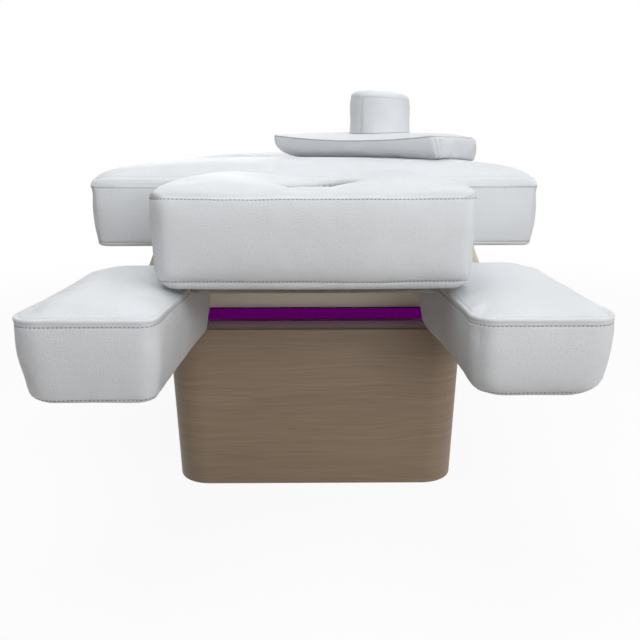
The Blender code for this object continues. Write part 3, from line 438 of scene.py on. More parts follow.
def make_wood():
    """Laminate whose level grain follows the panels round their corners."""
    finish = Finish("wood_laminate")
    along = finish.attribute("run")
    height = finish.height()

    def grain(run, rise, detail, level):
        at = finish.node("ShaderNodeCombineXYZ", None, {0: along * run, 1: level * rise})
        return finish.noise(at, 1.0, detail, 0.6)

    level = height + grain(2.6, 7, 2.0, height) * 0.045
    streak = grain(1.6, 62, 4.0, level)
    line = grain(4.0, 230, 3.0, level)
    fibre = grain(14, 800, 2.0, level)
    pore = grain(30, 620, 2.0, level).above(0.66)
    figure = streak * 0.26 + line * 0.46 + fibre * 0.28
    tone = finish.ramp(figure, (0.28, (0.235, 0.163, 0.106)), (0.50, (0.318, 0.230, 0.156)),
                       (0.72, (0.405, 0.303, 0.212)))
    tone = finish.mix(pore * 0.2, tone, (0.10, 0.07, 0.05))
    height_map = line * 0.5 + fibre * 0.5 - pore * 0.4
    return finish.done(Base_Color=tone, Roughness=0.46 + fibre * 0.14 - streak * 0.06,
                       Normal=finish.bump(height_map, 0.00012, 0.6), Specular_IOR_Level=0.4)


def make_rim():
    """Dark laminate edge, with the purple light of the strip above it painted on its side."""
    finish = Finish("rim_laminate")
    fleck = finish.noise(finish.place((6, 6, 90)), 12, 3.0)
    height = finish.height()
    painted_glow = finish.node("ShaderNodeMapRange", {"interpolation_type": "SMOOTHSTEP"},
                       {0: height, 1: RIM_PAINTED_GLOW[0], 2: RIM_PAINTED_GLOW[1]})
    flat = height.above(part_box("base_top_board")[1].z - RIM_FLAT)
    wood = finish.mix(fleck, (0.120, 0.086, 0.062), (0.185, 0.135, 0.100))
    tone = finish.mix(painted_glow * (1.0 - flat), wood, (0.150, 0.030, 0.130))
    return finish.done(Base_Color=tone, Roughness=0.42 + fleck * 0.14,
                       Normal=finish.bump(fleck, 0.0001, 0.5))


def make_cream():
    finish = Finish("cream_paint")
    peel = finish.noise(finish.place(), 420, 2.0)
    cloud = finish.noise(finish.place(), 6, 3.0)
    tone = finish.mix(cloud, (0.765, 0.700, 0.530), (0.825, 0.765, 0.600))
    return finish.done(Base_Color=tone, Roughness=0.40 + peel * 0.10,
                       Normal=finish.bump(peel, 0.00006, 0.5))


def make_glow():
    finish = Finish("light_diffuser")
    ripple = finish.noise(finish.place((3, 3, 30)), 10, 2.0)
    tone = finish.mix(ripple, (0.066, 0.0, 0.074), (0.094, 0.0, 0.106))
    return finish.done(Base_Color=(0.006, 0.0, 0.007), Roughness=0.6 + ripple * 0.1,
                       Emission_Color=tone, Emission_Strength=1.0, Specular_IOR_Level=0.03)


def make_backing():
    """Dark brown cloth stretched over the boards."""
    finish = Finish("backing_cloth")
    weave, weft = finish.stripes("X", 260), finish.stripes("Y", 260)
    fuzz = finish.noise(finish.place(), 60, 3.0)
    tone = finish.mix(fuzz, (0.120, 0.110, 0.090), (0.190, 0.175, 0.145))
    return finish.done(Base_Color=tone, Roughness=0.80 + fuzz * 0.1,
                       Normal=finish.bump(weave * weft, 0.0003, 0.6))


def make_coated_steel():
    finish = Finish("powder_coat")
    peel = finish.noise(finish.place(), 700, 2.0)
    dust = finish.noise(finish.place(), 14, 3.0)
    tone = finish.mix(dust, (0.030, 0.031, 0.034), (0.062, 0.063, 0.066))
    return finish.done(Base_Color=tone, Roughness=0.46 + peel * 0.16 + dust * 0.05,
                       Normal=finish.bump(peel, 0.00012, 0.6))


def make_zinc():
    finish = Finish("zinc_plate")
    spangle = finish.cells(finish.place(), 140, "F1")
    brush = finish.noise(finish.place((2, 60, 60)), 12, 3.0)
    tone = finish.mix(spangle, (0.46, 0.47, 0.48), (0.60, 0.61, 0.62))
    return finish.done(Base_Color=tone, Metallic=1.0, Roughness=0.28 + brush * 0.22,
                       Normal=finish.bump(brush, 0.00008, 0.5))


def make_chrome():
    finish = Finish("bright_plate")
    brush = finish.noise(finish.place((80, 80, 3)), 10, 3.0)
    tone = finish.mix(brush, (0.40, 0.41, 0.43), (0.54, 0.55, 0.57))
    return finish.done(Base_Color=tone, Metallic=1.0, Roughness=0.22 + brush * 0.16)


def make_black_plastic():
    finish = Finish("black_plastic")
    spark = finish.cells(finish.place(), 900, "F1")
    dust = finish.noise(finish.place(), 20, 3.0)
    tone = finish.mix(dust, (0.014, 0.014, 0.015), (0.032, 0.032, 0.033))
    return finish.done(Base_Color=tone, Roughness=0.42 + spark * 0.18,
                       Normal=finish.bump(spark, 0.0001, 0.5))


def make_rubber():
    finish = Finish("foot_rubber")
    dust = finish.noise(finish.place(), 80, 3.0)
    tone = finish.mix(dust, (0.010, 0.010, 0.010), (0.030, 0.029, 0.028))
    return finish.done(Base_Color=tone, Roughness=0.78 + dust * 0.14,
                       Normal=finish.bump(dust, 0.0002, 0.5))


LEATHER = make_leather()
THREAD = make_thread()
STITCH_GAP_SHADE = make_stitch_gap_shade()
WOOD = make_wood()
RIM = make_rim()
CREAM = make_cream()
GLOW = make_glow()
BACKING = make_backing()
COATED = make_coated_steel()
ZINC = make_zinc()
CHROME = make_chrome()
PLASTIC = make_black_plastic()
RUBBER = make_rubber()
SLOT_FINISHES = {
    "white_leather": LEATHER, "dark_board": BACKING, "wood_panel": WOOD, "rim_board": RIM,
    "light_diffuser": GLOW, "cream_paint": CREAM, "frame_steel": COATED, "hinge_steel": ZINC,
    "column_chrome": CHROME, "black_plastic": PLASTIC, "foot_rubber": RUBBER,
}


def dress_frame():
    """Give every CAD node the finish of its material slot."""
    for row in frame["record"]["subparts"]:
        mesh = NODES[row["node"]].data
        mesh.materials.clear()
        mesh.materials.append(SLOT_FINISHES[row["material_slot"]])


# Pieces

def to_mesh(name, verts, faces, smooth=True):
    """A closed mesh whose faces look outwards."""
    mesh = bpy.data.meshes.new(name)
    mesh.from_pydata(verts.tolist(), [], faces)
    bm = bmesh.new()
    bm.from_mesh(mesh)
    bmesh.ops.recalc_face_normals(bm, faces=bm.faces)
    bm.to_mesh(mesh)
    bm.free()
    if smooth:
        mesh.shade_smooth()
    return mesh


def put(name, data):
    """A new object in the scene."""
    item = bpy.data.objects.new(name, data)
    bpy.context.scene.collection.objects.link(item)
    return item


def add_piece(name, mesh, finish, body, slot, *stands_for):
    """Put a finished mesh on its body, in place of the CAD nodes it stands for."""
    piece = put(name, mesh)
    if finish:
        mesh.materials.clear()
        mesh.materials.append(finish)
    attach(piece, body)
    if stands_for:
        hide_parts(*stands_for)
    return piece


def vectors_of(mesh, kind):
    """The places ("co") or normals ("normal") of a mesh's points."""
    flat = np.empty(len(mesh.vertices) * 3)
    mesh.vertices.foreach_get(kind, flat)
    return flat.reshape(-1, 3)


def waves(points, counts, seed, height=1.0):
    """Smooth noise at each point, between plus and minus a height."""
    counts = Vector(counts)
    shift = Vector((seed, seed * 0.7, seed * 1.3))
    return height * np.array([noise.noise(Vector(p) * counts + shift) for p in points])


def ridge(away, width):
    """A smooth bump of height 1, from the distance to its middle."""
    return np.exp(-(away / width) ** 2)


def pressed(height, lines, shades):
    """Press lines into a height, each with a place, width and depth, and paint shade into them.
    """
    groove = 0
    # Each line's dark amount is painted shade in it.
    for (away, (middle, width, deep), where), dust in zip(lines, shades):
        line = ridge(away - middle, width) * where
        height, groove = height - deep * line, groove + dust * line
    return height, groove


def capped(moved, cap):
    """Shorten moves smoothly, so that none is longer than its cap."""
    size = np.maximum(np.linalg.norm(moved, axis=1), TINY)
    return moved * (cap * np.tanh(size / cap) / size)[:, None]


def near_corner(u, v):
    """From 0 along the sides of a square to 1 at its corners."""
    share = np.minimum(abs(u), abs(v)) - CORNER_START
    return np.clip(share / (1 - CORNER_START), 0, 1)


def square(q):
    """A point on the edge of a square, from its distance round it."""
    side, t = np.floor(q).astype(int) % 4, (q % 1) * 2 - 1
    ones = np.ones_like(t)
    return np.choose(side, [t, ones, -t, -ones]), np.choose(side, [-ones, t, ones, -t])


# Base panels: plan outlines drawn in towards the floor

def quarter(centre, radius, start, stop):
    return [(centre[0] + radius * math.cos(t), centre[1] + radius * math.sin(t))
            for t in np.linspace(start, stop, CORNER_POINTS)]


def end_plan(half_x, half_y, stop, sign):
    """Outer and inner line of an end panel: a face, two round corners, two returns."""
    lines = []
    for inset in (0.0, BASE_WALL):
        radius, x = BASE_CORNER - inset, half_x - BASE_CORNER
        y = -half_y + BASE_CORNER
        line = [(-half_x + inset, -stop)]
        line += quarter((-x, y), radius, math.pi, 1.5 * math.pi)
        line += quarter((x, y), radius, 1.5 * math.pi, 2 * math.pi)
        line += [(half_x - inset, -stop)]
        lines.append(np.array(line) * (1, -sign))
    return lines


def side_plan(half_x, stop, sign):
    ys = np.linspace(-stop, stop, SIDE_POINTS)
    return [np.stack([np.full_like(ys, sign * (half_x - inset)), ys], 1)
            for inset in (0.0, BASE_WALL)]


def base_panel(node, lines):
    """A panel from its outer and inner line, with softened edges and a running length."""
    low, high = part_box(node)
    outer, inner = lines
    count = len(outer)
    top_x, top_y = BASE_HALF
    steps = np.linalg.norm(np.diff(outer, axis=0), axis=1)
    run = np.concatenate([[0], np.cumsum(steps)])
    plan = np.concatenate([outer, inner[::-1]])
    verts = []
    for z in (low.z, high.z):
        drawn = BASE_TAPER * (high.z - z) / (high.z - low.z)
        scale = np.array([(top_x - drawn) / top_x, (top_y - drawn) / top_y])
        for x, y in plan * scale:
            verts.append((x, y + BASE_MID, z))
    total = len(plan)
    faces = [(i, (i + 1) % total, total + (i + 1) % total, total + i) for i in range(total)]
    for i in range(count - 1):
        j = total - 1 - i
        faces.append((i, i + 1, j - 1, j))
        faces.append((total + i, total + j, total + j - 1, total + i + 1))
    bm = bmesh.new()
    length = bm.verts.layers.float.new("run")
    made = [bm.verts.new(v) for v in verts]
    for vert, place in zip(made, np.tile(np.concatenate([run, run[::-1]]), 2)):
        vert[length] = place
    for face in faces:
        bm.faces.new([made[i] for i in face])
    bmesh.ops.recalc_face_normals(bm, faces=bm.faces)
    sharp = [e for e in bm.edges if e.calc_face_angle(0) > PANEL_EDGE_ANGLE]
    bmesh.ops.bevel(bm, geom=sharp, offset=PANEL_BEVEL, segments=2, profile=0.5,
                    affect="EDGES")
    mesh = bpy.data.meshes.new(node.replace("base_panel", "panel"))
    bm.to_mesh(mesh)
    bm.free()
    mesh.shade_smooth()
    mesh.set_sharp_from_angle(angle=PANEL_SHADE_ANGLE)
    return add_piece(mesh.name, mesh, WOOD, "base", "wood_panel", node)


def build_panels():
    half_x, half_y = BASE_HALF
    for name, sign in (("head", -1), ("foot", 1)):
        low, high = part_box(f"base_panel_{name}")
        stop = abs((high.y if sign < 0 else low.y) - BASE_MID)
        base_panel(f"base_panel_{name}", end_plan(half_x, half_y, stop, sign))
    for name, sign in (("left", -1), ("right", 1)):
        low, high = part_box(f"base_panel_{name}")
        base_panel(f"base_panel_{name}", side_plan(half_x, high.y - BASE_MID, sign))


# Soft forms

def dome(u, v, power=3):
    return (1 - abs(u) ** power) * (1 - abs(v) ** power)


def shoulder(away, width):
    """Quarter-round rise from 0 at a seam to 1 at a distance from it."""
    left = np.clip(1 - away / width, 0, 1)
    return np.sqrt(1 - left * left)


def crowned(u, v, half, crown, edge, power=4):
    """A top that rises fast along its seams and then gently to its middle."""
    high, wide = edge
    quick = shoulder((1 - abs(u)) * half[0], wide) * shoulder((1 - abs(v)) * half[1], wide)
    return high * quick + (crown - high) * dome(u, v, power)


def rounded_place(u, v, half_x, half_y, corner):
    """Where points of a square land on a rectangle with round corners."""
    ring = np.maximum(abs(u), abs(v))
    x, y = u * half_x, v * half_y
    core_x = np.clip(x, -ring * (half_x - corner), ring * (half_x - corner))
    core_y = np.clip(y, -ring * (half_y - corner), ring * (half_y - corner))
    away = np.maximum(np.hypot(x - core_x, y - core_y), TINY)
    stretch = ring * corner / away
    return core_x + (x - core_x) * stretch, core_y + (y - core_y) * stretch


def edge_lines(half, steps, pitch):
    """Lines across a panel from -1 to 1, close together next to its seams."""
    near = 1 - steps / half
    count = max(2, round(2 * (half - steps[-1]) / pitch))
    middle = np.linspace(-near[-1], near[-1], count + 1)[1:-1]
    return np.concatenate([-near, middle, near[::-1]])


def cube_grid(xs, ys, zs):
    """Points and quads of a grid on the six sides of a cube."""
    shape = (len(xs), len(ys), len(zs))
    i, j, k = np.indices(shape)
    skin = (i % (shape[0] - 1) == 0) | (j % (shape[1] - 1) == 0) | (k % (shape[2] - 1) == 0)
    number = np.full(shape, -1)
    number[skin] = np.arange(skin.sum())
    spots = np.stack([xs[i[skin]], ys[j[skin]], zs[k[skin]]], 1)
    quads = [sheet_quads(plane) for plane in (
        number[:, :, -1], number[:, ::-1, 0], number[-1], number[0, ::-1],
        number[:, 0], number[::-1, -1])]
    return spots, np.concatenate(quads)


def cube_sides(spots):
    """For each side of the cube: its key, the axes across it and which points are on it."""
    for axis in range(3):
        across = [n for n in range(3) if n != axis]
        for sign in (-1, 1):
            yield (axis, sign), across, spots[:, axis] * sign > FACE


def sheet_quads(plane):
    corners = (plane[:-1, :-1], plane[1:, :-1], plane[1:, 1:], plane[:-1, 1:])
    return np.stack(corners, -1).reshape(-1, 4)


def ring_quads(rows, count, closed=True):
    """Quads between rings of points, and from the last ring back to the first."""
    number = np.arange(rows * count).reshape(rows, count)
    return sheet_quads(np.pad(number, ((0, int(closed)), (0, 1)), mode="wrap"))


def level_ring(x, y, z):
    """Points at one height."""
    return np.stack([x, y, np.full_like(x, z)], 1)


def spline_taps(index, count, wrap=False):
    """The four neighbours of each place on a line, and their smooth weights."""
    base = np.clip(np.floor(index), 0, count - 1 if wrap else count - 2).astype(int)
    f = index - base
    weights = np.stack([(1 - f) ** 3, 3 * f ** 3 - 6 * f ** 2 + 4,
                        -3 * f ** 3 + 3 * f ** 2 + 3 * f + 1, f ** 3], 1) / 6
    taps = base[:, None] + np.arange(-1, 3)
    return (taps % count if wrap else np.clip(taps, 0, count - 1)), weights


def smooth_lookup(table, first, second, wrap=False):
    """Read a table of vectors smoothly at fractional rows and columns."""
    taps_a, weights_a = spline_taps(first, table.shape[0], wrap)
    taps_b, weights_b = spline_taps(second, table.shape[1], wrap)
    found = table[taps_a[:, :, None], taps_b[:, None, :]]
    return np.einsum("na,nb,nabc->nc", weights_a, weights_b, found)


class Cover:
    """The sewn cover of a boxed cushion, on a grid wrapped round a cube."""

    stitched = True
    top_cap, side_cap = 0.006, 0.0022    # the furthest that filling moves the leather
    bead, dent = 0.0009, 0.0012          # heights of the folded edge and of the dents

    def __init__(self, name, node, corner, crown, edge=None, lower_seam=None, roll=LOWER_ROLL,
                 bottom=None, tuck=SIDE_TUCK, pinch=0.0, roll_turn=90, hem=0.0,
                 stitch=STITCH_DEPTH, taper=0.0, lean=0.0):
        low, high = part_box(node)
        self.name, self.node = name, node
        self.body = NODES[node]["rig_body"]
        self.centre = ((low.x + high.x) / 2, (low.y + high.y) / 2)
        self.half = ((high.x - low.x) / 2, (high.y - low.y) / 2)
        self.corner = np.broadcast_to(corner, 4)
        self.crown, self.edge, self.taper, self.lean = crown, edge, taper, lean
        self.roll, self.tuck, self.pinch, self.hem = roll, tuck, pinch, hem
        self.roll_turn, self.stitch = math.radians(roll_turn), stitch
        self.seam = high.z - crown
        self.thick = self.seam - (bottom or low.z)
        self.lower_seam = lower_seam
        self.swelling = {}

    def depths(self):
        """Heights of the rows on the side, measured down from the top seam."""
        bends = self.roll_turn * ROLL_STEPS
        rolled = self.thick - self.hem - self.roll * (np.sin(self.roll_turn) - np.sin(bends))
        rows = [BAND_STEPS, rolled, [self.thick]]
        if self.lower_seam:
            rows.append(self.thick - self.lower_seam + LOWER_STEPS)
        start, stop = BAND_STEPS[-1], min(row[0] for row in rows[1:])
        rows.append(np.linspace(start, stop, max(2, round((stop - start) / FINE_PITCH)))[1:-1])
        found = np.unique(np.concatenate(rows).round(6))
        keep = np.concatenate([[True], np.diff(found) > ROW_GAP])
        return found[keep]

    def lines(self, fine):
        half_x, half_y = self.half
        if fine:
            return (edge_lines(half_x, TOP_STEPS, FINE_PITCH),
                    edge_lines(half_y, TOP_STEPS, FINE_PITCH),
                    1 - 2 * self.depths()[::-1] / self.thick)
        counts = (2 * half_x, 2 * half_y, self.thick)
        return tuple(np.linspace(-1, 1, round(c / SLACK_PITCH) + 1) for c in counts)

    def grid(self, fine):
        """Points and quads of the cover, or of the coarse mesh for filling."""
        return cube_grid(*self.lines(fine))

    def inset(self, depth):
        """How far the side stands inside the top seam at a depth."""
        reach = self.roll * math.sin(self.roll_turn)
        under = np.clip(depth - self.thick + self.hem + reach, 0, reach)
        rolled = self.roll - np.sqrt(self.roll ** 2 - under ** 2)
        rolled = rolled + HEM_SLOPE * np.clip(depth - self.thick + self.hem, 0, None)
        belly = SIDE_BELLY * np.sin(np.pi * np.clip(depth / self.thick, 0, 1))
        return self.tuck * (depth / self.thick) ** SIDE_TUCK_POWER + rolled - belly

    def place(self, spots):
        u, v, w = spots.T
        depth = self.thick * (1 - w) / 2
        inset = self.inset(depth)
        half_x, half_y = self.half[0] - inset, self.half[1] - inset
        x, y = rounded_place(u, v, half_x, half_y, self.corner_of(u, v))
        x = x - self.narrowing(u, v)
        x = x - u ** 3 * SIDE_PULL * (1 - (y / half_y) ** 2)
        y = y - v ** 3 * SIDE_PULL * (1 - (x / half_x) ** 2)
        pinched = self.pinch * (1 - np.exp(-depth / PINCH_REACH)) * near_corner(u, v)
        x = x - np.sign(u) * pinched
        tucked = (w < -FACE) & (self.inwards(u, v) > WRAP_BORDER)
        top = crowned(u, v, self.half, self.crown, self.edge)
        z = self.seam - depth + np.where(w > FACE, top, WRAP_HOLLOW * tucked)
        z = z + self.lean * (1 + v) / 2 * (1 + w) / 2
        return np.stack([x + self.centre[0], y + self.centre[1], z], 1)

    def corner_of(self, u, v):
        """Corner radius for each point: near left, near right, far left, far right."""
        return self.corner[(u > 0) + 2 * (v > 0)]

    def narrowing(self, u, v):
        """How far a point moves across when the pad narrows towards its near end."""
        return self.taper * (1 + np.sign(self.taper) * u) / 2 * (1 - v) / 2

    def inwards(self, u, v):
        return np.minimum((1 - abs(u)) * self.half[0], (1 - abs(v)) * self.half[1])

    def below_seam(self, spots):
        """Distance down the side from the top seam, or minus the distance inwards."""
        u, v, w = spots.T
        return np.where(w > FACE, -self.inwards(u, v), self.thick * (1 - w) / 2)

    def held(self, spots):
        """Points that sewing or the board holds still while the cover is filled."""
        depth = self.below_seam(spots)
        sewn = (abs(depth) < 1e-6) | (depth > self.thick * HELD_SHARE)
        if self.lower_seam:
            sewn |= abs(depth - self.thick + self.lower_seam) < SLACK_PITCH * 0.5
        return sewn

    def slack(self):
        """A coarse mesh for filling, with the points that are held still."""
        spots, quads = self.grid(False)
        self.slack_spots, self.slack_lines = spots, self.lines(False)
        return self.place(spots), quads, self.held(spots)

    def keep_swelling(self, moved):
        """Store how the filled cover moved, as one table for each side of the cube."""
        spots, lines = self.slack_spots, self.slack_lines
        moved = capped(moved, np.where(spots[:, 2] > FACE, self.top_cap, self.side_cap))
        for key, (a, b), side in cube_sides(spots):
            order = np.lexsort((spots[side][:, b], spots[side][:, a]))
            shape = (len(lines[a]), len(lines[b]), 3)
            self.swelling[key] = moved[side][order].reshape(shape)

    def swell_at(self, spots):
        total = np.zeros((len(spots), 3))
        if not self.swelling:
            return total
        for key, across, side in cube_sides(spots):
            found = [np.interp(spots[side][:, n], self.slack_lines[n],
                               np.arange(len(self.slack_lines[n]))) for n in across]
            total[side] = smooth_lookup(self.swelling[key], *found)
        return total

    def ring_at(self, spots, depth):
        """The points of one row round the side, in order."""
        w = 1 - 2 * depth / self.thick
        rows = np.unique(spots[:, 2])
        row = rows[np.argmin(abs(rows - w))]
        outer = np.maximum(abs(spots[:, 0]), abs(spots[:, 1])) > 1 - TINY
        found = np.flatnonzero(outer & (abs(spots[:, 2] - row) < TINY))
        turn = np.arctan2(spots[found, 1], spots[found, 0])
        return found[np.argsort(turn)]

    def corner_share(self, spots):
        return near_corner(spots[:, 0], spots[:, 1])

    def turn_of(self, points):
        """The direction of each point from the cover's middle."""
        return np.arctan2(points[:, 1] - self.centre[1], points[:, 0] - self.centre[0])

    def detail(self, spots, points):
        """Height of sewn details above the plain cover, and painted shade in the grooves."""
        depth = self.below_seam(spots)
        middle = self.stitch - BEAD_RISE
        bead = np.clip(1 - ((depth - middle) / (BEAD_WIDTH / 2)) ** 2, 0, 1)
        groove = ridge(depth - self.stitch, GROOVE_WIDTH)
        crease = ridge(depth - middle + CREASE_RISE, CREASE_WIDTH)
        height = self.bead * (bead - CREASE_SHARE * crease) - STITCH_GROOVE * groove
        groove = groove + CREASE_SHADE * crease * (self.bead > HIGH_BEAD)
        fade = np.exp(-np.clip(depth - self.stitch, 0, 1) / PUCKER_FADE)
        fade = fade * (depth > self.stitch * PUCKER_START)
        turned = self.corner_share(spots)
        height += fade * (waves(points, *PUCKER) * (1 + CORNER_PUCKER * turned)
                          + waves(points, *FOLD) * turned)
        loose = depth < self.thick * LOOSE_SHARE
        height += (waves(points, *DENT) * self.dent + waves(points, *RIPPLE)) * loose
        if self.lower_seam:
            off = depth - self.thick + self.lower_seam
            low = ridge(off, LOWER_GROOVE_WIDTH)
            height -= STITCH_GROOVE * low
            height += waves(points, *LOWER_PUCKER) * np.exp(-abs(off) / LOWER_PUCKER_FADE)
            groove = groove + low
        return height, groove * SEAM_SHADE

    def sew(self):
        """Build the finished cover and its lines of stitches."""
        spots, quads = self.grid(True)
        points = self.place(spots) + self.swell_at(spots)
        mesh = to_mesh(self.name, points, quads.tolist())
        height, groove = self.detail(spots, points)
        points = points + vectors_of(mesh, "normal") * height[:, None]
        mesh.vertices.foreach_set("co", points.ravel())
        mesh.update()
        # Painted shade in the seams and creases, kept for the leather's colour.
        dust = mesh.attributes.new("groove", "FLOAT", "POINT")
        dust.data.foreach_set("value", np.clip(groove, 0, 1).astype(np.float32))
        self.mesh = mesh
        piece = add_piece(self.name, mesh, LEATHER, self.body, "white_leather", self.node)
        if not self.stitched:
            return piece
        normals = vectors_of(mesh, "normal")
        rings = [self.ring_at(spots, self.stitch)]
        if self.lower_seam:
            rings.append(self.ring_at(spots, self.thick - self.lower_seam))
        loops = [points[ring] + normals[ring] * THREAD_RADIUS * THREAD_LIFT for ring in rings]
        lay_run(self.name.replace("_cover", "_stitches"), loops, self.body, STITCH_TREE,
                "white_leather", (STITCH_PITCH, STITCH_LENGTH, THREAD_RADIUS))
        lay_run(self.name.replace("_cover", "_staples"), [self.staple_line()], self.body,
                STAPLE_TREE, "hinge_steel", STAPLE_SIZES)
        return piece

    def staple_line(self):
        """A closed line on the leather that is turned under the board."""
        u, v = square(LAP)
        u, v = u * (1 - STAPLE_INSET / self.half[0]), v * (1 - STAPLE_INSET / self.half[1])
        return self.place(level_ring(u, v, -1.0))


def arm_board(cover, node):
    """The backing board inside an arm pad's cover, drawn in like the cover."""
    low, high = cover.seam - cover.thick + BOARD_LIFT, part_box(node)[1].z
    u, v = square(LAP[::2])
    rings = []
    for inset, z in ((BOARD_EDGE, low), (0.0, low + BOARD_EDGE), (0.0, high)):
        drawn = cover.tuck + cover.roll + BOARD_INSET + inset
        x, y = rounded_place(u, v, cover.half[0] - drawn, cover.half[1] - drawn,
                             cover.corner_of(u, v) * BOARD_CORNER)
        x = x - cover.narrowing(u, v)
        rings.append(level_ring(x + cover.centre[0], y + cover.centre[1], z))
    count = len(u)
    faces = ring_quads(len(rings), count, False).tolist()
    faces += [list(range(count))[::-1], list(range(2 * count, 3 * count))]
    board = to_mesh(node.replace("board", "backing"), np.concatenate(rings), faces, False)
    add_piece(board.name, board, BACKING, cover.body, "dark_board", node)
    tongue = arm_tongue(node.replace("board", "tongue"), cover.body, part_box(node))
    add_piece(tongue.name, tongue, COATED, cover.body, "dark_board")


def arm_tongue(name, body, box):
    """The steel tongue from an arm pad to its pivot pin, with softened edges."""
    pivot = next(j["pos_m"] for j in JOINTS if j["child"] == body)
    far = box[1].y - pivot[1]
    half = (far + TONGUE_REACH) / 2
    turn = np.linspace(0, 2 * math.pi, TONGUE_POINTS, endpoint=False)
    u, v = np.cos(turn), np.sin(turn)
    ring = np.maximum(abs(u), abs(v))
    x, y = rounded_place(u / ring, v / ring, TONGUE_HALF, half, TONGUE_CORNER)
    y = y + far - half
    turn = np.arctan2(y, x)
    round_x, round_y = TONGUE_BORE * np.cos(turn), TONGUE_BORE * np.sin(turn)
    low = box[0].z + TONGUE_GAP
    high = low + TONGUE_THICK
    rings = []
    for inset, z in ((TONGUE_EDGE, low), (0.0, low + TONGUE_EDGE), (0.0, high - TONGUE_EDGE),
                     (TONGUE_EDGE, high)):
        size = 1 - inset / np.hypot(x, y)
        rings.append(level_ring(x * size, y * size, z))
    rings += [level_ring(round_x, round_y, z) for z in (high, low)]
    return to_mesh(name, np.concatenate(rings) + (pivot[0], pivot[1], 0),
                   ring_quads(len(rings), len(x)).tolist(), False)


# Stitches and staples: short beads laid along lines

RUN_SIZES = ("Pitch", "Length", "Radius")
GAP_GIRTH = 1.15


def run_tree(name, thread, gap=None):
    """Long beads spaced along a path, with a bead of another finish in each gap."""
    tree = bpy.data.node_groups.new(name, "GeometryNodeTree")
    tree.interface.new_socket("Geometry", in_out="INPUT", socket_type="NodeSocketGeometry")
    for label in RUN_SIZES:
        tree.interface.new_socket(label, in_out="INPUT", socket_type="NodeSocketFloat")
    tree.interface.new_socket("Geometry", in_out="OUTPUT", socket_type="NodeSocketGeometry")
    wiring = Wiring(tree)
    node = wiring.node
    start = tree.nodes.new("NodeGroupInput").outputs
    path, pitch, length, radius = (Wire(wiring, start[key]) for key in ("Geometry", *RUN_SIZES))
    curve = node("GeometryNodeMeshToCurve", None, {"Mesh": path})
    spaced = node("GeometryNodeResampleCurve", {"mode": "LENGTH"},
                  {"Curve": curve, "Length": pitch * 0.5})
    aim = node("FunctionNodeAlignRotationToVector", {"axis": "X"},
               {"Vector": node("GeometryNodeInputTangent")})
    odd = node("GeometryNodeInputIndex") % 2.0
    bead = node("GeometryNodeMeshUVSphere", None, {"Segments": 6, "Rings": 5, "Radius": 1.0})
    both = tree.nodes.new("GeometryNodeJoinGeometry")
    for chosen, long, girth, finish in ((odd, length, 1.0, thread),
                                        (1.0 - odd, pitch - length, GAP_GIRTH, gap)):
        if not finish:
            continue
        width = radius * girth
        size = node("ShaderNodeCombineXYZ", None, {"X": long * 0.5, "Y": width, "Z": width})
        laid = node("GeometryNodeInstanceOnPoints", None,
                    {"Points": spaced, "Selection": chosen, "Instance": bead,
                     "Rotation": aim, "Scale": size})
        solid = node("GeometryNodeRealizeInstances", None, {"Geometry": laid})
        soft = node("GeometryNodeSetShadeSmooth", None, {"Geometry": solid})
        run = node("GeometryNodeSetMaterial", None, {"Geometry": soft, "Material": finish})
        wiring.feed(both.inputs[0], run)
    end = tree.nodes.new("NodeGroupOutput")
    tree.links.new(both.outputs[0], end.inputs[0])
    return tree


# Its dark gap beads are painted shade between the stitches.
STITCH_TREE = run_tree("stitch_run", THREAD, STITCH_GAP_SHADE)
STAPLE_TREE = run_tree("staple_run", ZINC)


def grown(name, mesh, tree, values):
    """Run a node tree on a mesh and return the plain mesh that it makes."""
    carrier = put(name + "_path", mesh)
    change = carrier.modifiers.new("grow", "NODES")
    change.node_group = tree
    for item in tree.interface.items_tree:
        if item.in_out == "INPUT" and item.name in values:
            change[item.identifier] = values[item.name]
    bpy.context.view_layer.update()
    graph = bpy.context.evaluated_depsgraph_get()
    result = bpy.data.meshes.new_from_object(carrier.evaluated_get(graph))
    result.name = name
    bpy.data.objects.remove(carrier, do_unlink=True)
    return result


def lay_run(name, loops, body, tree, slot, sizes):
    """Lay beads along closed loops of points."""
    verts, edges, first = [], [], 0
    for loop in loops:
        count = len(loop)
        verts += [tuple(p) for p in loop]
        edges += [(first + i, first + (i + 1) % count) for i in range(count)]
        first += count
    path = bpy.data.meshes.new(name + "_path")
    path.from_pydata(verts, edges, [])
    mesh = grown(name, path, tree, dict(zip(RUN_SIZES, sizes)))
    return add_piece(name, mesh, None, body, slot)


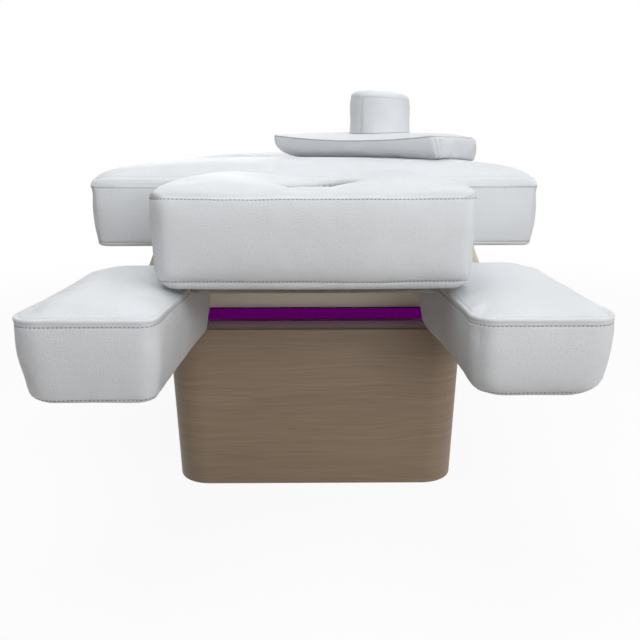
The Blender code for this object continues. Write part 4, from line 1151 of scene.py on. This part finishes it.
class HeadCover(Cover):
    """The head section's cover, one ring of rows round the face hole."""

    top_row, lip_row, wall_row, under_row, band_row = range(5)
    ends = (5, 4)                        # where the rows and the four sides begin again
    bead, dent = 0.0003, 0.0022
    top_cap = Cover.top_cap * 0.6

    def __init__(self, *args, **more):
        super().__init__(*args, **more)
        self.under = self.seam - self.thick

    def lines(self, fine):
        """Rows run over the top, down the hole, under and up the side."""
        if fine:
            far = self.half[1] - HOLE_RADIUS
            counts = iter(HEAD_ROWS)
            middle = np.linspace(TOP_STEPS[-1] / far, 1, next(counts))[1:]
            steps = [np.concatenate([TOP_STEPS / far, middle])]
            steps += [np.linspace(0, 1, count) for count in counts]
            steps.append(1 - self.depths()[::-1] / self.thick)
            columns = [edge_lines(half, TOP_STEPS, HEAD_PITCH) for half in self.half]
        else:
            steps = [np.linspace(0, 1, count) for count in HEAD_SLACK_ROWS]
            columns = [np.linspace(-1, 1, round(2 * h / SLACK_PITCH)) for h in self.half]
        p = np.concatenate([t[:-1] + n for n, t in enumerate(steps)])
        shares = [(line[:-1] + 1) / 2 for line in columns]
        q = np.concatenate([shares[0], shares[1] + 1, shares[0] + 2, shares[1] + 3])
        return p, q

    def grid(self, fine):
        p, q = self.lines(fine)
        spots = np.stack([np.repeat(p, len(q)), np.tile(q, len(p))], 1)
        return spots, ring_quads(len(p), len(q))

    def staple_line(self):
        return self.place(np.stack([np.full_like(LAP, self.under_row + HEAD_STAPLES), LAP], 1))

    def outline(self, q, depth=0.0):
        """The side's plan at a depth below the top seam."""
        u, v = square(q)
        reach = HEAD_SIDE_ROLL * SIDE_ROLL_SHARE
        under = np.clip(depth - self.thick + reach, 0, reach)
        rolled = HEAD_SIDE_ROLL - np.sqrt(HEAD_SIDE_ROLL ** 2 - under ** 2)
        half_x = self.half[0] - HEAD_SIDE_TUCK * depth / self.thick - rolled
        half_y = self.half[1] - self.inset(depth)
        x, y = rounded_place(u, v, half_x, half_y, self.corner_of(u, v))
        x = x - HEAD_LEFT * np.clip(-u, 0, 1)
        brow = HEAD_BROW[0] * (1 - np.exp(-depth / HEAD_BROW[1])) * np.clip(-v, 0, 1) ** 3
        return (x - u ** 3 * SIDE_PULL * (1 - (y / half_y) ** 2),
                y - v ** 3 * np.where(v < 0, -HEAD_BOW, SIDE_PULL) * (1 - (x / half_x) ** 2)
                - brow)

    def height(self, x, y):
        u, v = np.clip(x / self.half[0], -1, 1), np.clip(y / self.half[1], -1, 1)
        drawn = ridge(x - DIP_SHIFT[0], DIP_REACH[0]) * ridge(y - DIP_SHIFT[1], DIP_REACH[1])
        top = crowned(u, v, self.half, self.crown, self.edge)
        return self.seam + top - HEAD_DIP * drawn * dome(u, v, 4)

    def row_of(self, spots):
        """The row that each point is in, and its share of the way through it."""
        row = np.floor(spots[:, 0] + TINY)
        return row.astype(int), spots[:, 0] - row

    def place(self, spots):
        row, t = self.row_of(spots)
        q = spots[:, 1]
        out_x, out_y = self.outline(q)
        turn = np.arctan2(out_y, out_x)
        lip = HOLE_RADIUS + HOLE_LIP
        lip_x, lip_y = lip * np.cos(turn), lip * np.sin(turn)
        lip_z = self.height(lip_x, lip_y)
        top_x, top_y = out_x + (lip_x - out_x) * t, out_y + (lip_y - out_y) * t
        bend = t * math.pi / 2
        round_r = HOLE_RADIUS + HOLE_LIP * (1 - np.sin(bend))
        round_z = lip_z - HOLE_LIP * (1 - np.cos(bend))
        wall_z = (lip_z - HOLE_LIP) + (self.under - lip_z + HOLE_LIP) * t
        hole_x, hole_y = HOLE_RADIUS * np.cos(turn), HOLE_RADIUS * np.sin(turn)
        low_x, low_y = self.outline(q, self.thick)
        depth = self.thick * (1 - t)
        band_x, band_y = self.outline(q, depth)
        under_z = self.under + WRAP_HOLLOW * ((t > HEAD_HOLLOW[0]) & (t < HEAD_HOLLOW[1]))
        x = np.choose(row, [top_x, round_r * np.cos(turn), hole_x,
                            hole_x + (low_x - hole_x) * t, band_x])
        y = np.choose(row, [top_y, round_r * np.sin(turn), hole_y,
                            hole_y + (low_y - hole_y) * t, band_y])
        z = np.choose(row, [self.height(top_x, top_y), round_z, wall_z,
                            under_z, self.seam - depth])
        return np.stack([x + self.centre[0], y + self.centre[1], z], 1)

    def below_seam(self, spots):
        row, t = self.row_of(spots)
        inwards = t * (min(self.half) - HOLE_RADIUS)
        hole = np.full_like(t, -1.0)
        return np.choose(row, [-inwards, hole, hole, np.full_like(t, self.thick),
                               self.thick * (1 - t)])

    def held(self, spots):
        row = self.row_of(spots)[0]
        return super().held(spots) | (row == self.wall_row) | (row == self.under_row)

    def keep_swelling(self, moved):
        over = self.slack_spots[:, 0] < self.wall_row
        moved = capped(moved, np.where(over, self.top_cap, self.side_cap))
        p, q = self.slack_lines
        self.swelling = moved.reshape(len(p), len(q), 3)

    def swell_at(self, spots):
        if isinstance(self.swelling, dict):
            return np.zeros((len(spots), 3))
        found = [np.interp(spots[:, n], np.append(lines, top), np.arange(len(lines) + 1))
                 for n, (lines, top) in enumerate(zip(self.slack_lines, self.ends))]
        return smooth_lookup(self.swelling, *found, wrap=True)

    def ring_at(self, spots, depth):
        rows = np.unique(spots[:, 0])
        row = rows[np.argmin(abs(rows - (self.ends[0] - depth / self.thick)))]
        return np.flatnonzero(abs(spots[:, 0] - row) < TINY)

    def corner_share(self, spots):
        return near_corner(*square(spots[:, 1]))

    def detail(self, spots, points):
        """Adds the gathers and the seam round the face hole, with painted shade in the seam and
        between the gathers.
        """
        height, groove = super().detail(spots, points)
        turn = self.turn_of(points)
        row, reach = RUCHE_ROW
        near = ridge(spots[:, 0] - row, reach)
        sway, often = RUCHE_SWAY
        ruche = np.cos(turn * RUCHES + sway * np.sin(turn * often))
        change, often = RUCHE_CHANGE
        ruche = ruche * (1 - change + change * np.sin(turn * often))
        height += ruche * near * RUCHE_HEIGHT
        hole_seam_shade, gather_gap_shade = HOLE_SHADE
        height, sewn = pressed(height, ((spots[:, 0], HOLE_SEAM, 1),), (hole_seam_shade,))
        return height, groove + sewn + gather_gap_shade * near * np.clip(-ruche, 0, 1)


class PillowCover(Cover):
    """The loose boat-shaped pillow: dished top, front and left end undercut."""

    top_cap, side_cap = 0.003, 0.003
    stitched = False

    def __init__(self, name, node, ground):
        super().__init__(name, node, PILLOW_CORNER, 0.0)
        self.half = (PILLOW_SIZE[0] / 2, PILLOW_SIZE[1] / 2)
        self.ground = ground

    def place(self, spots):
        u, v, w = spots.T
        t = (1 - w) / 2
        belly = SIDE_BELLY * np.sin(np.pi * t)
        x, y = rounded_place(u, v, self.half[0] + belly, self.half[1] + belly,
                             self.corner_of(u, v))
        cut, power = PILLOW_LEFT_CUT
        x = x + cut * t ** power * (0.5 - x / PILLOW_SIZE[0])
        cut, power = PILLOW_FRONT_CUT
        y = y + cut * t ** power * (0.5 - y / PILLOW_SIZE[1])
        high, deep, power = PILLOW_END_ROUND
        near = np.clip(1 - np.minimum(t, 1 - t) * self.thick / high, 0, 1)
        x = x - deep * (1 - np.sqrt(1 - near ** 2)) * np.clip(u, 0, 1) ** power
        c, s = math.cos(PILLOW_TURN), math.sin(PILLOW_TURN)
        x, y = self.centre[0] + x * c - y * s, self.centre[1] + x * s + y * c
        sag, power = PILLOW_DISH
        top = self.seam - PILLOW_LEAN * u - sag * (1 - u * u) * ((1 - v) / 2) ** power
        top = top + np.where(w > FACE, PILLOW_CROWN * dome(u, v, 4), 0)
        low = heights_over(self.ground, x, y) + PILLOW_GAP
        return np.stack([x, y, top + (low - top) * t], 1)

    def detail(self, spots, points):
        """A narrow seam under the top edge, and the seams of the right end panel, with painted
        shade in them.
        """
        u, v, w = spots.T
        depth, t = self.below_seam(spots), (1 - w) / 2
        along = (1 + v) * self.half[1]
        end = (u > FACE) & (abs(w) < FACE)
        lines = ((depth, PILLOW_SEAM, 1), (along, PILLOW_JOIN, end),
                 (along - PILLOW_FOLD_RUN * (1 - t), PILLOW_FOLD, end))
        swell, rise = PILLOW_PUFF
        puff = np.clip(1 - (2 * t - 1) ** 4, 0, 1) * np.clip(along / rise, 0, 1) * end
        height = swell * puff + waves(points, *PILLOW_DENT) * (t < LOOSE_SHARE)
        height += waves(points, *PILLOW_PUCKER) * np.exp(-abs(depth) / PUCKER_REACH)
        return pressed(height, lines, PILLOW_SHADE)


class PlugCover(Cover):
    """The round face-hole plug, standing on the pillow with its top aslant."""

    top_cap, side_cap = 0.002, 0.0015
    stitched = False

    def __init__(self, name, node, ground):
        low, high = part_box(node)
        super().__init__(name, node, (high.x - low.x) / 2, PLUG_DOME)
        self.ground = ground

    def place(self, spots):
        u, v, w = spots.T
        t = (1 - w) / 2
        flare = PLUG_FLARE[0] * ridge(1 - t, PLUG_FLARE[1])
        half = self.half[0] - PLUG_DRAFT * (1 - t) + PLUG_BELLY * np.sin(np.pi * t) + flare
        ring = np.maximum(np.maximum(abs(u), abs(v)), 1e-6)
        x, y = rounded_place(u / ring, v / ring, 1.0, 1.0, 1.0)
        bow = PLUG_ROUND * (1 - PLUG_ROUND_CHANGE * x)
        flat = self.half[0] - bow
        bend = np.clip((ring * self.half[0] - flat) / bow, 0, 1) * math.pi / 2
        reach = np.where(w > FACE, np.minimum(ring * self.half[0], flat)
                         + (bow - PLUG_DRAFT) * np.sin(bend), ring * half)
        x, y = x * reach, y * reach
        top = self.seam - x * PLUG_SLANT + PLUG_DOME
        crest = top - PLUG_CREST * ring ** 2 - (bow - PLUG_CREST) * (1 - np.cos(bend))
        x, y = x + self.centre[0], y + self.centre[1]
        low = heights_over(self.ground, x, y) + PLUG_GAP
        side = top - bow + (low - top + bow) * t
        return np.stack([x, y, np.where(w > FACE, crest, side)], 1)

    def detail(self, spots, points):
        """The upright join with a seam on each side of it, and the top's faint seam, with
        painted shade in them.
        """
        depth = self.below_seam(spots)
        turn = self.turn_of(points)
        off = (turn - PLUG_SEAM_TURN) * self.half[0]
        lines = ((abs(off), PLUG_JOIN, spots[:, 2] < FACE), (depth, PLUG_EDGE, 1))
        height = waves(points, *PLUG_DENT) * (spots[:, 2] > -LOOSE_SHARE)
        height += waves(points, *PLUG_PUCKER) * np.exp(-abs(depth) / PLUG_PUCKER_REACH)
        return pressed(height, lines, PLUG_SHADE)


ABOVE_ALL = 2.0          # a height over the whole bed
TOP_LEVEL = 0.6          # about the height of its upper side


def heights_over(tree, xs, ys):
    """Heights of the top of a cover at places, or of its points nearest to them."""
    found = []
    for x, y in zip(xs, ys):
        hit = tree.ray_cast(Vector((x, y, ABOVE_ALL)), Vector((0, 0, -1)))[0]
        if hit is None:
            hit = tree.find_nearest(Vector((x, y, TOP_LEVEL)))[0]
        found.append(hit.z)
    return np.array(found)


def tree_of(mesh):
    mesh.calc_loop_triangles()
    return BVHTree.FromPolygons([v.co for v in mesh.vertices],
                                [t.vertices for t in mesh.loop_triangles])


def swell(covers):
    """Fill all the covers at once: pressure from inside, held along their seams."""
    scene = bpy.context.scene
    filled = []
    for cover in covers:
        points, quads, held = cover.slack()
        mesh = to_mesh(cover.name + "_slack", points, quads.tolist())
        item = put(mesh.name, mesh)
        group = item.vertex_groups.new(name="sewn")
        group.add(np.flatnonzero(held).tolist(), 1.0, "REPLACE")
        cloth = item.modifiers.new("fill", "CLOTH")
        cloth.point_cache.frame_start, cloth.point_cache.frame_end = 1, FILL_STEPS
        cloth.collision_settings.use_collision = False
        for key, value in FILLING.items():
            setattr(cloth.settings, key, value)
        cloth.settings.effector_weights.gravity = 0
        filled.append((cover, item, points))
    for step in range(1, FILL_STEPS + 1):
        scene.frame_set(step)
    graph = bpy.context.evaluated_depsgraph_get()
    for cover, item, points in filled:
        cover.keep_swelling(vectors_of(item.evaluated_get(graph).data, "co") - points)
    for _, item, _ in filled:
        bpy.data.objects.remove(item, do_unlink=True)
    scene.frame_set(1)


# Studio

def place_camera():
    data = bpy.data.cameras.new("photo_camera")
    data.lens, data.sensor_width = CAMERA_LENS, 36
    camera = put("photo_camera", data)
    camera.matrix_world = (Matrix.Translation(CAMERA_PLACE)
                           @ Matrix.Rotation(CAMERA_TURN, 4, "Z")
                           @ Matrix.Rotation(CAMERA_PITCH, 4, "X")
                           @ Matrix.Rotation(CAMERA_ROLL, 4, "Z"))
    bpy.context.scene.camera = camera


def area_light(name, place, aim, size, power):
    data = bpy.data.lights.new(name, "AREA")
    data.shape, data.size, data.energy = "DISK", size, power
    data.color = LAMP_TINT
    lamp = put(name, data)
    lamp.location = place
    lamp.rotation_euler = (Vector(aim) - Vector(place)).to_track_quat("-Z", "Y").to_euler()


def build_studio():
    bpy.context.scene.view_settings.view_transform = "Standard"
    world = bpy.data.worlds.new("studio")
    world.use_nodes = True
    bpy.context.scene.world = world
    sky, made = Wiring(world.node_tree), world.node_tree.nodes
    side = sky.node("ShaderNodeSeparateXYZ", None,
                    {0: sky.node("ShaderNodeTexCoord", out="Generated")})
    left, right = WORLD_FILL
    level = sky.node("ShaderNodeMapRange", None, {0: side, 1: -1.0, 2: 1.0, 3: left, 4: right})
    sky.feed(made["Background"].inputs["Color"], WORLD_TINT)
    sky.feed(made["Background"].inputs["Strength"], level)
    white = sky.node("ShaderNodeBackground", None, {"Color": (1.0, 1.0, 1.0), "Strength": 1.0})
    blend = sky.node("ShaderNodeMixShader", None,
                     {0: sky.seen_directly(), 1: Wire(sky, made["Background"].outputs[0]),
                      2: white})
    sky.feed(made["World Output"].inputs[0], blend)
    for lamp in LAMPS:
        area_light(*lamp)
    lay_floor()


def lay_floor():
    """A white floor that keeps the bed's shadow close to the bed."""
    bm = bmesh.new()
    bmesh.ops.create_circle(bm, cap_ends=True, segments=96, radius=FLOOR_RADIUS)
    mesh = bpy.data.meshes.new("studio_floor")
    bm.to_mesh(mesh)
    bm.free()
    floor = put("studio_floor", mesh)
    finish = Finish("studio_floor")
    seen = finish.seen_directly()
    finish.done(Base_Color=finish.mix(seen, FLOOR_TONE, (1.0, 1.0, 1.0)),
                Roughness=0.9, Specular_IOR_Level=0.1)
    away = finish.node("ShaderNodeVectorMath", {"operation": "LENGTH"}, {0: finish.place()},
                       "Value")
    share = finish.node("ShaderNodeMapRange", {"interpolation_type": "SMOOTHSTEP"},
                        dict(enumerate((away, *SHADOW_REACH, *SHADOW_SHARE))))
    glow = finish.node("ShaderNodeEmission", None, {"Strength": 1.0})
    blend = finish.node("ShaderNodeMixShader", None,
                        {0: seen * share, 1: Wire(finish, finish.shader.outputs[0]), 2: glow})
    finish.feed(finish.output.inputs[0], blend)
    mesh.materials.append(finish.material)


place_camera()
build_studio()
dress_frame()

LOW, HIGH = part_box("base_panel_head")
FOOT_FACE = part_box("base_panel_foot")[1].y
BASE_MID = (LOW.y + FOOT_FACE) / 2
BASE_HALF = (HIGH.x, (FOOT_FACE - LOW.y) / 2)
build_panels()

# Lower edges of the covers, set against their boards
UNDER_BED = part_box("back_board")[0].z + 0.0008
UNDER_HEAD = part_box("head_board")[0].z + 0.0068
UNDER_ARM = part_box("arm_left_board")[0].z - 0.0012
BED = {"corner": BED_CORNER, "crown": BED_CROWN, "edge": BED_SHOULDER, "lower_seam": 0.007,
       "bottom": UNDER_BED, "tuck": 0.003, "pinch": 0.004, "stitch": 0.0018, "roll": 0.006}
ARM = {"crown": ARM_CROWN, "edge": ARM_SHOULDER, "tuck": 0.009}
BACK = Cover("back_cover", "back_cushion", **(BED | {"crown": BACK_CROWN}))
SEAT = Cover("seat_cover", "seat_cushion", **BED)
LEG = Cover("leg_cover", "leg_cushion", **BED)
ARM_LEFT = Cover("arm_left_cover", "arm_left_cushion", (0.042, 0.022, 0.032, 0.020),
                 lower_seam=0.0055, bottom=UNDER_ARM, roll=0.011, taper=0.012, **ARM)
ARM_RIGHT = Cover("arm_right_cover", "arm_right_cushion", (0.032, 0.042, 0.020, 0.032),
                  lower_seam=0.0085, bottom=UNDER_ARM + ARM_RAISE, roll=0.024, taper=-0.015,
                  lean=0.004, **ARM)
HEAD = HeadCover("head_cover", "head_cushion", HEAD_CORNER, HEAD_CROWN, HEAD_SHOULDER,
                 lower_seam=HEAD_HEM, roll=0.024, bottom=UNDER_HEAD, tuck=0.002, roll_turn=62,
                 hem=HEAD_HEM, stitch=0.0012)
BACK.half = (BACK.half[0] + BACK_SPREAD, BACK.half[1])
HEAD.seam, HEAD.thick = BACK.seam, BACK.seam - UNDER_HEAD
HEAD.half = (HEAD.half[0] + HEAD_SPREAD, HEAD.half[1])
COVERS = (BACK, SEAT, LEG, ARM_LEFT, ARM_RIGHT, HEAD)
swell(COVERS)
for each in COVERS:
    each.sew()
arm_board(ARM_LEFT, "arm_left_board")
arm_board(ARM_RIGHT, "arm_right_board")
PILLOW = PillowCover("pillow_cover", "head_pillow", tree_of(BACK.mesh))
swell((PILLOW,))
PILLOW.sew()
PLUG = PlugCover("plug_cover", "face_hole_plug", tree_of(PILLOW.mesh))
swell((PLUG,))
PLUG.sew()
